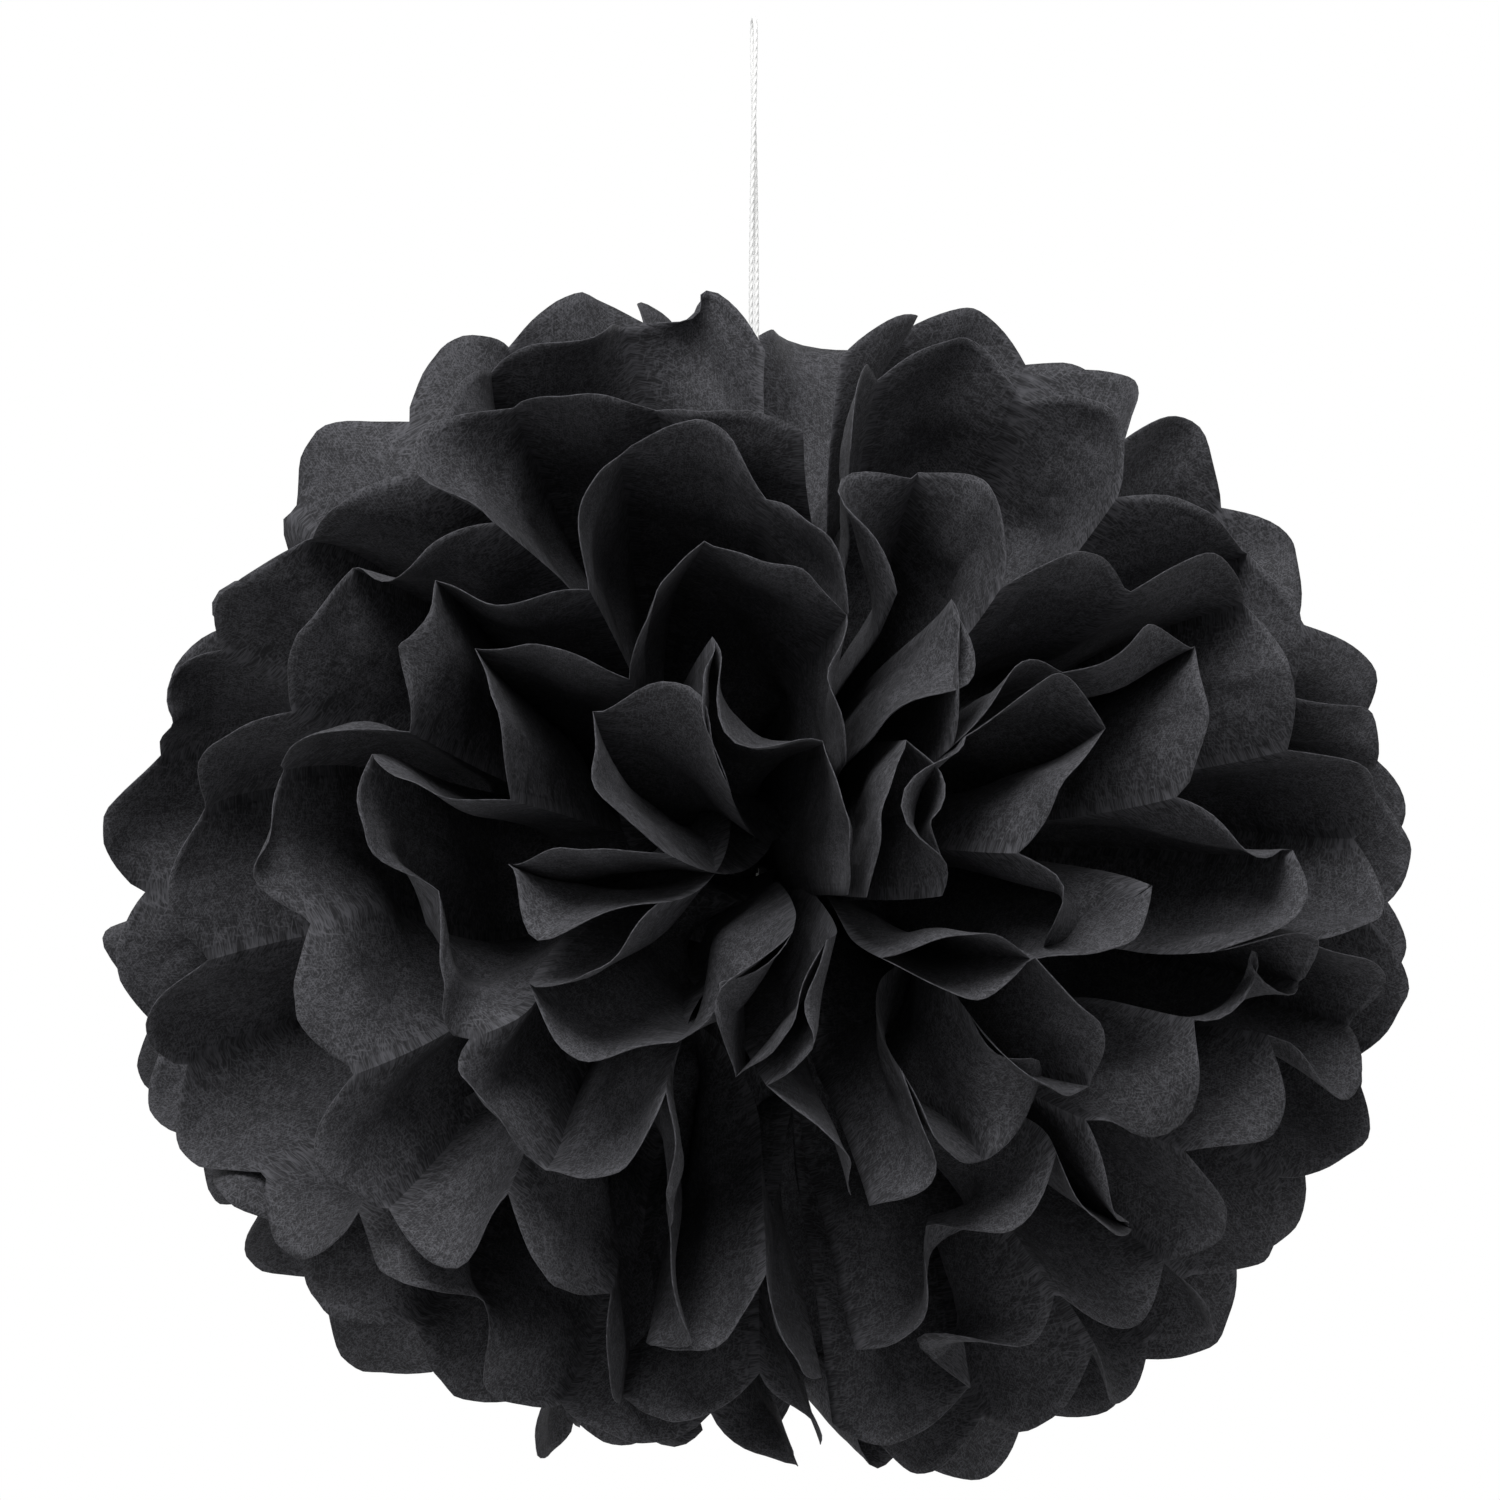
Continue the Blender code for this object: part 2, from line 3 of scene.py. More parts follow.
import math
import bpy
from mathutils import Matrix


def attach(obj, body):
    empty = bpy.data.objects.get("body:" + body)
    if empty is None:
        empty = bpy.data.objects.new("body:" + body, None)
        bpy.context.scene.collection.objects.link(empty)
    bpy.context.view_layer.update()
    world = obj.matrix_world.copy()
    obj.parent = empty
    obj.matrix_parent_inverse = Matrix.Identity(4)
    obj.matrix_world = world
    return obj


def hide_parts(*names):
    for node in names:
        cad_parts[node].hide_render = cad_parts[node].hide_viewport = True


bl_info = {
    "name": "Tissue Paper Pom-pom",
    "version": (1, 0, 0),
    "blender": (4, 5, 0),
    "location": "View3D > Sidebar > Pom-pom",
    "description": "Folds ten tissue leaves, settles them as paper and hangs them on a string",
    "category": "Object",
}

import bmesh
import bpy
import numpy as np
from bpy.props import FloatProperty, FloatVectorProperty, IntProperty, PointerProperty
from mathutils import Matrix, Vector

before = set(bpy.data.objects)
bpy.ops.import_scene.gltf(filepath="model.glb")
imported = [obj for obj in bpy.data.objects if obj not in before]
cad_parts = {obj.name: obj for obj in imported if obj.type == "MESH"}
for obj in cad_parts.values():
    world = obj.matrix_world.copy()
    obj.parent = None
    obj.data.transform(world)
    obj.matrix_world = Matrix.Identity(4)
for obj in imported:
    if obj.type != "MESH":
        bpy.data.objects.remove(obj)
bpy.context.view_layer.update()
BODY = "root"

# Make-up of the ball
LEAF_COUNT = 10
PLEATS = 14
FOLDS = PLEATS + 1
PLEAT_ANGLE = math.pi / PLEATS
HEIGHT_RATIO = 0.945
HUB = Vector((0.0, 0.0, -0.264))
SLIT_HALF_WIDTH = 0.00225

# Waist of the leaves, and distances from it
WAIST_RADIUS = 0.009
WAIST_STEP = 0.0009
WAIST_PITCH = 0.0009
THROAT_END = 0.024
GATHER_END = 0.060
BODY_END = 0.135

# Opening of the leaves, in degrees from one pole to the other, and the zigzag of the pleats
POLE_GAP = 11.0
MIDDLE_GAP = 20.0
GAP_TAPER = 1.0
SHALLOWEST = 0.22
POLE_SHARE = 0.55
GATHER_POWER = 1.3

# Hand made unevenness that the solids have too
GAP_SPREAD = 0.20
FOLD_SPREAD = 0.08
WIDTH_SPREAD = 0.60
RIM_SHIFT = 0.25
REACH_SPREAD = 0.004
CURL_SPREAD = 3.0
PETAL_BULGE = 0.0025

# Waves of the unevenness along the folds: their shortest and longest, counted in folds
GAP_WAVES = (5.0, 12.0)
RIM_WAVES = (7.0, 16.0)
FLOP_WAVES = (3.0, 9.0)

# Where the lean fades out: from the ball's poles, and in the string's room above the hub
CALM_POLES = (0.030, 0.160)
STRING_ROOM_HEIGHT = 0.030
STRING_ROOM_DEPTH = (0.004, 0.040)
OVER_STRING_HEIGHT = (0.030, 0.110)
OVER_STRING_DEPTH = (0.006, 0.030)

# Long runs of the opened folds: three places that a fold may stand at, and where the runs set in
RUN_PLACES = 3
POLE_RUN_MIDDLE = 0.5
POLE_RUN_FROM = (0.2, 0.7)
RUN_START = 0.055
RUN_END = 0.120

# Waves of the cut that strays: their shortest and longest, counted in pleats, and how many
STRAY_LENGTHS = (0.25, 1.1)
STRAY_WAVES = 5

# Bent petal ends: where the bend may start, from the tips, and its slant, both counted in pleat widths
BEND_START = (0.3, 1.1)
BEND_SLANT = 0.9

# How the settling goes: each round's share of the move, when the paper has its full width back,
# how much less the tips are held, how fast the slits' hold fades, and the leaves' gap at the waist
SETTLE_STEP = 1.4
GROWN_AFTER = 0.6
TIP_FREEDOM = 0.7
SLIT_FADE = 2.0
WAIST_GAP = 0.3

# How upright a leaf stands where its folds start to show their crimp, and where they show all of it
CRIMP_SHOWS = (0.4, 0.9)

# Grids of the paper: cells across one pleat, and from the waist to the tips
ROUGH_ACROSS = 2
ROUGH_ALONG = 14
FINE_ACROSS = 16
FINE_ALONG = 52

PLIES = 3
STRING_STEPS = 480

# Route of one strand of the string, from the knot to the bight, as the solids have it
STRAND_ROUTE = (
    (-0.0009, 0.0, -0.2473),
    (-0.0009, 0.0, -0.2000),
    (-0.0009, 0.0, -0.1500),
    (-0.0009, -0.0001, -0.1100),
    (-0.0009, -0.0003, -0.0850),
    (-0.0008, -0.0009, -0.0640),
    (-0.0006, -0.0017, -0.0450),
    (-0.0003, -0.0026, -0.0280),
    (-0.0001, -0.0031, -0.0150),
    (0.0, -0.0033, -0.0080),
    (0.0, -0.0030, -0.0035),
    (0.0, -0.0018, -0.0013),
)

# Ways that the tissue's fibres lie
FIBRE_ANGLES = (0.35, 1.4, 2.5)

# Lamp and floor
LAMP_SIZE = 1.1
LAMP_FROM_HUB = (-0.45, -1.05, 1.35)
FLOOR_SIZE = 30.0
FLOOR_GREY = 0.64
FLOOR_FADE = (0.5, 0.9)


def ease(value, start, end):
    """Rises smoothly from 0 at start to 1 at end."""
    share = np.clip((value - start) / (end - start), 0.0, 1.0)
    return share * share * (3.0 - 2.0 * share)


def unit(vectors):
    """The same vectors at length 1."""
    return vectors / (np.linalg.norm(vectors, axis=-1, keepdims=True) + 1e-12)


def wander(rng, shortest, longest, waves=3):
    """A smooth random curve over the folds, about one unit either way."""
    folds = np.arange(FOLDS)
    total = np.zeros(FOLDS)
    for _ in range(waves):
        length = rng.uniform(shortest, longest)
        total += np.sin(2.0 * np.pi * (folds / length + rng.random()))
    return total / math.sqrt(waves)


def per_leaf(values):
    """One value for each leaf, shaped to go with grids of leaf, row and column."""
    return np.asarray(values, dtype=float)[:, None, None]


FROM_MIDDLE = np.arange(LEAF_COUNT) - (LEAF_COUNT - 1) / 2
WAIST_PLACE = per_leaf(FROM_MIDDLE * WAIST_PITCH)
WAIST = per_leaf(WAIST_RADIUS - WAIST_STEP * (np.abs(FROM_MIDDLE) - 0.5))


def columns(across):
    """Places of the grid's columns, counted in pleats: evenly spaced along each round petal end."""
    share = 0.5 - 0.5 * np.cos(np.pi * np.arange(across) / across)
    return np.append((np.arange(PLEATS)[:, None] + share).ravel(), PLEATS)


def in_order(polar, least):
    """Keeps the leaves in their order from the front to the back, at least an angle apart."""
    spacing = least * np.arange(LEAF_COUNT)[:, None, None]
    forwards = np.maximum.accumulate(polar - spacing, axis=0)
    backwards = np.minimum.accumulate((polar - spacing)[::-1], axis=0)[::-1]
    return (forwards + backwards) / 2.0 + spacing


class Fans:
    """The petals on one side of the slits, from the same random draws as the solids."""

    def __init__(self, side, rng, settings):
        self.side = side
        self.settings = settings
        gaps = np.array([self.mean_gap(place) for place in range(LEAF_COUNT + 1)])
        spread = np.array([
            GAP_SPREAD * wander(rng, *GAP_WAVES) + FOLD_SPREAD * rng.standard_normal(FOLDS)
            for _ in gaps
        ])
        opened = gaps[:, None] * np.exp(spread)
        opened *= math.pi / opened.sum(axis=0)
        self.polar = np.cumsum(opened, axis=0)[:-1, None, :]
        widths = np.exp(WIDTH_SPREAD * rng.uniform(-1.0, 1.0, PLEATS))
        turned = np.concatenate([[0.0], np.cumsum(widths)]) * math.pi / widths.sum()
        even = PLEAT_ANGLE * np.arange(FOLDS)
        slack = 1.0 - np.sin(self.polar.mean(axis=2))
        self.azimuth = (math.pi / 2 - even - slack * (turned - even))[:, None, :]
        self.shift = np.array([
            RIM_SHIFT * PLEAT_ANGLE * wander(rng, *RIM_WAVES) for _ in range(LEAF_COUNT)
        ])[:, None, :]
        self.shift[..., 0] = -np.abs(self.shift[..., 0])
        self.shift[..., -1] = np.abs(self.shift[..., -1])
        self.reach = settings.reach - REACH_SPREAD * rng.random((LEAF_COUNT, PLEATS))
        self.curl = np.radians(CURL_SPREAD) * np.clip(
            rng.standard_normal((LEAF_COUNT, PLEATS)), -1.5, 1.5
        )

    def draw_runs(self, rng):
        """Draws where each fold stands once hands have opened the pleats, and how the cut strays."""
        steps = np.zeros(PLEATS)
        self.stand = np.zeros((LEAF_COUNT, FOLDS))
        front = np.cos(self.polar.mean(axis=2)[:, 0])
        for leaf in range(LEAF_COUNT):
            if leaf == LEAF_COUNT // 2:
                steps = np.zeros(PLEATS)
            place = 0
            step = 1
            for fold in range(PLEATS):
                if steps[fold] and rng.random() < self.settings.alike:
                    step = steps[fold]
                elif place == 1 and rng.random() < self.settings.turn_back:
                    step = -step
                if not 0 <= place + step < RUN_PLACES:
                    step = -step
                steps[fold] = step
                place += step
                self.stand[leaf, fold + 1] = place
        away = np.where(front > 0.0, 1.0, -1.0)[:, None]
        middle = 1.0 + (POLE_RUN_MIDDLE - 1.0) * ease(np.abs(front), *POLE_RUN_FROM)[:, None]
        self.stand = away * (self.stand - middle)
        lengths = rng.uniform(*STRAY_LENGTHS, STRAY_WAVES)
        self.strays = [(length, rng.random(LEAF_COUNT)) for length in lengths]

    def mean_gap(self, place):
        """Mean opening, in degrees, between two leaves that lie next to each other."""
        if place in (0, LEAF_COUNT):
            return POLE_GAP
        return MIDDLE_GAP - GAP_TAPER * abs(LEAF_COUNT / 2 - place)

    def cut_distance(self, pleat, along):
        """Distance from the waist's middle for rows that end at the round cut, on the flat sheet."""
        petal = np.minimum(pleat.astype(int), PLEATS - 1)
        from_middle = 2.0 * (pleat - petal) - 1.0
        round_end = np.sqrt(np.clip(1.0 - from_middle ** 2, 0.0, 1.0))
        cut_off = self.settings.reach - self.reach[:, petal] + self.settings.scallop * (1.0 - round_end)
        cut_off += self.snips(pleat)
        rows = (np.arange(along + 1) / along)[:, None]
        return WAIST + (self.settings.reach - WAIST) * rows - cut_off[:, None, :] * rows ** 4

    def snips(self, pleat):
        """How far the hand-held scissors strayed inwards along the cut."""
        stray = np.zeros((LEAF_COUNT, len(pleat)))
        for length, phase in self.strays:
            stray += np.sin(2.0 * np.pi * (pleat / length + phase[:, None]))
        return self.settings.snip * (1.0 + stray / len(self.strays))

    def turn(self, fold, radius):
        """Azimuth of folds at these distances from the waist."""
        return self.azimuth[..., fold] + ease(radius, GATHER_END, self.settings.reach) * self.shift[..., fold]

    def fold_line(self, fold, radius):
        """Polar angle and azimuth of folds: what a pleat spans round the pole it loses in depth."""
        turn = self.turn(fold, radius)
        before = self.turn(np.maximum(fold - 1, 0), radius) - turn
        after = turn - self.turn(np.minimum(fold + 1, PLEATS), radius)
        span = np.where(fold == 0, after, np.where(fold == PLEATS, before, (before + after) / 2))
        polar = self.polar[..., fold]
        opened = radius * np.sin(polar) * span
        width = self.settings.pleat_width
        depth = np.sqrt(np.maximum(width ** 2 - opened ** 2, (SHALLOWEST * width) ** 2))
        to_pole = np.minimum(polar, np.pi - polar)
        clear_of_pole = to_pole - np.arcsin(np.minimum(WAIST / radius, 1.0))
        half = np.minimum(np.minimum(depth / 2, radius * POLE_SHARE * to_pole), radius * clear_of_pole)
        gathered = np.clip((radius - WAIST) / (GATHER_END - WAIST), 0.0, 1.0) ** GATHER_POWER
        zigzag = np.where(fold % 2 == 1, 0.5, -0.5)
        stand = zigzag + (self.stand[:, None, fold] - zigzag) * ease(radius, RUN_START, RUN_END)
        polar = polar + 2.0 * stand * np.maximum(half, 0.0) * gathered / radius
        return in_order(polar, self.settings.least_angle), turn

    def place(self, polar, turn, radius):
        """World places for directions and distances from the waists."""
        out = radius * np.sin(polar)
        return np.stack([
            self.side * (SLIT_HALF_WIDTH + out * np.cos(turn)),
            WAIST_PLACE - radius * np.cos(polar),
            HUB.z + HEIGHT_RATIO * out * np.sin(turn),
        ], axis=-1)

    def folded(self, distance, pleat):
        """World places of grid points, folded and opened as the solids are."""
        fold = np.minimum(pleat.astype(int), PLEATS - 1)
        share = pleat - fold
        radius = np.maximum(distance, THROAT_END)
        polar_a, turn_a = self.fold_line(fold, radius)
        polar_b, turn_b = self.fold_line(fold + 1, radius)
        crown = 4.0 * share * (1.0 - share)
        bulge = crown * PETAL_BULGE * ease(radius, THROAT_END, BODY_END) / radius
        curl = crown * self.curl[:, None, fold] * ease(radius, BODY_END, self.settings.reach)
        opened = self.place(
            polar_a + (polar_b - polar_a) * share + bulge + curl, turn_a + (turn_b - turn_a) * share, radius
        )
        level = math.pi / 2 - PLEAT_ANGLE * pleat + 0.0 * radius
        tied = self.place(np.full_like(radius, math.pi / 2), level, WAIST + 0.0 * radius)
        loose = np.clip((distance - WAIST) / (THROAT_END - WAIST), 0.0, 1.0)[..., None]
        return tied + (opened - tied) * loose


class Paper:
    """Both fans of every leaf as grids of points: side, leaf, row and column."""

    def __init__(self, fans, settings, across, along):
        self.fans = fans
        self.settings = settings
        self.across = across
        self.along = along
        self.pleat = columns(across)
        self.signs = np.array([side.side for side in fans])[:, None, None, None, None]
        rows = (np.arange(along + 1) / along)[:, None]
        self.distance = WAIST + (settings.reach - WAIST) * rows + 0.0 * self.pleat
        self.folded = np.stack([side.folded(self.distance, self.pleat) for side in fans])
        self.points = self.folded.copy()
        upright = np.sin(np.stack([side.polar for side in fans]).mean(axis=-1, keepdims=True))
        self.open = ease(upright, *CRIMP_SHOWS)
        self.out = ease(self.distance, THROAT_END, settings.reach)[..., None]
        self.free = ease(self.distance, THROAT_END, GATHER_END)[..., None]

    def refined(self, across, along):
        """The same sheets on a finer grid, smooth over each pleat, with the folds kept."""
        finer = Paper(self.fans, self.settings, across, along)
        rows = spread(self.along, along)
        cols = spread_pleats(self.across, across)
        finer.points = np.einsum("fr,slrck,gc->slfgk", rows, self.points, cols, optimize=True)
        return finer

    def disturb(self, rng):
        """Flops and curls petals by hand, and leans neighbouring petals the same way."""
        settings = self.settings
        fold = np.minimum(self.pleat.astype(int), PLEATS - 1)
        share = self.pleat - fold
        crown = 4.0 * share * (1.0 - share)
        bend = ease(self.distance, GATHER_END, settings.reach)
        tip = ease(self.distance, BODY_END, settings.reach)
        flop = self.leaf_waves(rng)
        slide = self.leaf_waves(rng)
        curl = rng.standard_normal((2, LEAF_COUNT, 1, PLEATS))
        flop = flop[..., fold] * (1.0 - share) + flop[..., fold + 1] * share
        slide = slide[..., fold] * (1.0 - share) + slide[..., fold + 1] * share
        lift = settings.flop * flop * bend + settings.curl * curl[..., fold] * crown * tip
        normals = self.normals()
        sideways = self.sideways()
        self.points += normals * lift[..., None] + sideways * (settings.slide * slide * bend)[..., None]
        self.lean(rng)
        crimp = 0.5 + rng.random((2, LEAF_COUNT, 1, FOLDS))
        crimp *= np.where(np.arange(FOLDS) % 2 == 1, 1.0, -1.0)
        crimp = crimp[..., fold] * (1.0 - share) + crimp[..., fold + 1] * share
        self.points += normals * (settings.crimp * crimp * bend * self.open)[..., None]

    def leaf_waves(self, rng):
        """One smooth random curve over the folds for each leaf on each side."""
        waves = [[wander(rng, *FLOP_WAVES) for _ in range(LEAF_COUNT)] for _ in self.fans]
        return np.array(waves)[:, :, None]

    def lean(self, rng):
        """Leans neighbouring petals the same way; along X the slits lean with them."""
        settings = self.settings
        self.leans = [
            (
                unit(rng.standard_normal(3) * (axis != 0 or np.array((0.0, 1.0, 1.0)))) * 2.0 * np.pi
                / rng.uniform(settings.lean_length, 2.0 * settings.lean_length),
                2.0 * np.pi * rng.random(),
                axis,
            )
            for axis in (0, 1, 2) for _ in range(settings.lean_waves)
        ]
        self.points += self.field(self.points)

    def field(self, points):
        """How far the ball's petals lean at these places."""
        total = np.zeros_like(points)
        for wave, phase, axis in self.leans:
            total[..., axis] += np.sin(points @ wave + phase)
        from_hub = points - np.array(HUB)
        amount = self.settings.lean * math.sqrt(2.0 / self.settings.lean_waves)
        amount = amount * ease(np.linalg.norm(from_hub, axis=-1), GATHER_END / 2, self.settings.reach)
        amount = amount * ease(np.linalg.norm(from_hub[..., (0, 2)], axis=-1), *CALM_POLES)
        above = ease(from_hub[..., 2], 0.0, STRING_ROOM_HEIGHT)
        beside = ease(np.abs(points[..., 1]), *STRING_ROOM_DEPTH)
        total *= (amount * (1.0 - above * (1.0 - beside)))[..., None]
        over = ease(from_hub[..., 2], *OVER_STRING_HEIGHT)
        over = over * ease(np.abs(points[..., 1]), *OVER_STRING_DEPTH)
        total[..., 0] += self.settings.over_string * over
        return total

    def sideways(self):
        """Directions across the pleats."""
        return unit(np.gradient(self.points, axis=3))

    def normals(self):
        """Directions square to the paper, towards the next leaf to the back."""
        outwards = unit(np.gradient(self.points, axis=2))
        return unit(np.cross(outwards, self.sideways())) * self.signs

    def links(self):
        """Pairs of grid points with their distances now and in the sheet, and how firmly they keep."""
        last = PLEATS * self.across
        settled = ease(self.distance, self.settings.gather_start, self.settings.gather_end)
        links = []
        for rows, cols, firmness in (
            (1, 0, 1.0), (0, 1, 1.0), (1, 1, 0.5), (1, -1, 0.5), (2, 0, self.settings.stiffness),
            (0, 2, self.settings.stiffness), (0, self.across, self.settings.panel_stiffness),
        ):
            left = slice(max(-cols, 0), last + 1 - max(cols, 0))
            right = slice(max(cols, 0), last + 1 - max(-cols, 0))
            start = (..., slice(0, self.along + 1 - rows), left)
            end = (..., slice(rows, None), right)
            now = self.gap(start, end, self.points)
            folded = self.gap(start, end, self.folded)
            wide = np.abs(self.pleat[right] - self.pleat[left]) * self.settings.pleat_width
            keep = settled[start]
            if cols == 0:
                rest = folded
            elif rows == 0:
                rest = now + (wide - now) * keep
            else:
                tall = self.gap(start, (start[0], end[1], start[2]), self.folded)
                rest = now + (np.hypot(wide, tall) - now) * keep
            firm = np.full(rest.shape + (1,), firmness)
            if cols == 2:
                over_fold = (np.arange(last + 1)[left] + 1) % self.across == 0
                rest = np.where(over_fold, now + (rest - now) * self.settings.openness, rest)
                firm[..., over_fold, :] = self.settings.fold_hold
            if rows == 2:
                firm[..., ::self.across, :] = self.settings.crease
            links.append((start, end, now, rest, firm))
        return links

    @staticmethod
    def gap(start, end, grid):
        """Distances between the points of two shifted grids."""
        point = (slice(None),)
        return np.linalg.norm(grid[end + point] - grid[start + point], axis=-1)

    def settle(self):
        """Lets the disturbed sheets find shapes that neither stretch nor pass through each other."""
        settings = self.settings
        links = self.links()
        point = (slice(None),)
        count = np.zeros(self.distance.shape + (1,))
        for start, end, _, _, firm in links:
            count[start + point] += firm[0, 0]
            count[end + point] += firm[0, 0]
        home = self.points.copy()
        from_slit = np.minimum(self.pleat, PLEATS - self.pleat)[:, None]
        hold = settings.hold * (1.0 - TIP_FREEDOM * self.out)
        hold = hold + settings.slit_hold * np.exp(-SLIT_FADE * from_slit)
        for turn in range(settings.rounds):
            grown = min(turn / (GROWN_AFTER * settings.rounds), 1.0)
            shift = np.zeros_like(self.points)
            for start, end, now, rest, firm in links:
                apart = self.points[end + point] - self.points[start + point]
                length = np.linalg.norm(apart, axis=-1)
                aim = now + (rest - now) * grown
                move = apart * firm * (0.5 - 0.5 * aim / length)[..., None]
                shift[start + point] += move
                shift[end + point] -= move
            self.points += self.free * (SETTLE_STEP * shift / count + hold * (home - self.points))
            self.points[..., 2] -= (settings.sag * hold * self.out)[..., 0]
            self.keep_apart()

    def keep_apart(self):
        """Pushes neighbouring leaves, and the two fans at the slits, clear of each other."""
        normals = self.normals()
        least = self.settings.least_gap * (WAIST_GAP + (1.0 - WAIST_GAP) * self.out[1:])
        facing = unit(normals[:, 1:] + normals[:, :-1])
        apart = np.sum((self.points[:, 1:] - self.points[:, :-1]) * facing, axis=-1, keepdims=True)
        alike = np.clip(np.sum(normals[:, 1:] * normals[:, :-1], axis=-1, keepdims=True), 0.0, 1.0)
        push = alike * np.clip(0.5 * (least - apart), 0.0, self.settings.least_gap) * facing
        self.points[:, 1:] += self.free[1:] * push
        self.points[:, :-1] -= self.free[:-1] * push
        signs = self.signs[..., 0]
        across = (self.points[..., 0] - self.field(self.points)[..., 0]) * signs
        above = ease(self.points[..., 2], HUB.z - STRING_ROOM_HEIGHT, HUB.z)
        room = SLIT_HALF_WIDTH * (above + self.settings.closed_slit * (1.0 - above))
        self.points[..., 0] += np.maximum(room - across, 0.0) * signs * self.free[..., 0]
        edges = (..., (0, -1), 0)
        pull = self.settings.slit_pull * (room - across)[..., (0, -1)]
        self.points[edges] += pull * signs * self.free[..., (0, -1), 0]
        middle = np.array(HUB) + WAIST_PLACE[..., None] * (0.0, 1.0, 0.0)
        away = (self.points - middle) / (1.0, 1.0, HEIGHT_RATIO)
        farthest = np.linalg.norm(away, axis=-1) / (self.distance + SLIT_HALF_WIDTH)
        self.points = middle + (self.points - middle) / np.maximum(farthest, 1.0)[..., None]

    def soften(self, rng):
        """Curls single petal ends over and gives the paper its soft dents."""
        settings = self.settings
        petal = np.minimum(self.pleat.astype(int), PLEATS - 1)
        aside = self.pleat - petal - 0.5
        crown = 1.0 - 4.0 * aside ** 2
        shape = (2, LEAF_COUNT, 1, PLEATS)
        bend = rng.standard_normal(shape)
        bend *= settings.end_bend * (1.0 + settings.rolled * (rng.random(shape) < settings.rolled_share))
        start = settings.reach - rng.uniform(*BEND_START, shape) * settings.pleat_width
        slant = rng.uniform(-BEND_SLANT, BEND_SLANT, shape) * settings.pleat_width
        bend, start, slant = (values[..., petal] for values in (bend, start, slant))
        past = np.maximum(self.distance - start + slant * aside, 0.0)
        turned = bend * past + 1e-9
        back = np.sin(turned) / turned - 1.0
        off = (1.0 - np.cos(turned)) / turned
        normals = self.normals()
        outwards = unit(np.gradient(self.points, axis=2))
        self.points += (crown * past)[..., None] * (back[..., None] * outwards + off[..., None] * normals)
        dents = np.zeros(self.points.shape[:-1])
        width = self.pleat * settings.pleat_width
        for _ in range(settings.dent_waves):
            angle = rng.uniform(0.0, np.pi, (2, LEAF_COUNT, 1, 1))
            length = rng.uniform(0.6, 2.2) * settings.dent_length
            along = np.cos(angle) * self.distance + np.sin(angle) * width
            dents += np.sin(2.0 * np.pi * (along / length + rng.random((2, LEAF_COUNT, 1, 1))))
        dents *= settings.dent * self.out[..., 0] * crown ** 0.5
        self.points += normals * dents[..., None]

    def trimmed(self, along):
        """Points of the sheets cut to their round petal ends, with rows from the waist to the cut."""
        return np.stack([
            read_rows(self.points[place], (side.cut_distance(self.pleat, along) - WAIST) /
                      (self.settings.reach - WAIST) * self.along)
            for place, side in enumerate(self.fans)
        ])


def read_rows(grid, place):
    """Reads a grid's rows (leaf, row, column, point) smoothly at fractional row places."""
    last = grid.shape[1] - 1
    span = np.clip(place.astype(int), 0, last - 1)
    t = (place - span)[..., None]
    rows = [
        np.take_along_axis(grid, np.clip(span + offset, 0, last)[..., None], axis=1)
        for offset in (-1, 0, 1, 2)
    ]
    return sum(row * weight for row, weight in zip(rows, cubic_weights(t)))


def cubic_weights(t):
    """Weights of four points in a row, to read a smooth curve between the second and the third."""
    return (
        0.5 * (-t + 2.0 * t ** 2 - t ** 3),
        0.5 * (2.0 - 5.0 * t ** 2 + 3.0 * t ** 3),
        0.5 * (t + 4.0 * t ** 2 - 3.0 * t ** 3),
        0.5 * (-t ** 2 + t ** 3),
    )


def spread_pleats(rough, fine):
    """Weights that read every pleat's columns smoothly on a finer grid."""
    panel = spread(rough, fine)
    weights = np.zeros((PLEATS * fine + 1, PLEATS * rough + 1))
    for pleat in range(PLEATS):
        down = slice(pleat * fine, pleat * fine + fine + 1)
        weights[down, pleat * rough:pleat * rough + rough + 1] = panel
    return weights


def spread(rough, fine):
    """Weights that read a smooth curve through rough + 1 points at fine + 1 places."""
    weights = np.zeros((fine + 1, rough + 1))
    for step in range(fine + 1):
        place = step * rough / fine
        span = min(int(place), rough - 1)
        t = place - span
        for offset, weight in zip((-1, 0, 1, 2), cubic_weights(t)):
            point = span + offset
            if point < 0:
                weights[step, 0] += 2.0 * weight
                weights[step, 1] -= weight
            elif point > rough:
                weights[step, rough] += 2.0 * weight
                weights[step, rough - 1] -= weight
            else:
                weights[step, point] += weight
    return weights


class Wire:
    """A socket in a Python expression: each operation on it adds its Math node."""

    def __init__(self, finish, socket):
        self.finish = finish
        self.socket = socket

    def __add__(self, other):
        return self.finish.maths("ADD", self, other)

    def __sub__(self, other):
        return self.finish.maths("SUBTRACT", self, other)

    def __mul__(self, other):
        return self.finish.maths("MULTIPLY", self, other)

    __radd__ = __add__
    __rmul__ = __mul__

    def __rsub__(self, other):
        return self.finish.maths("SUBTRACT", other, self)


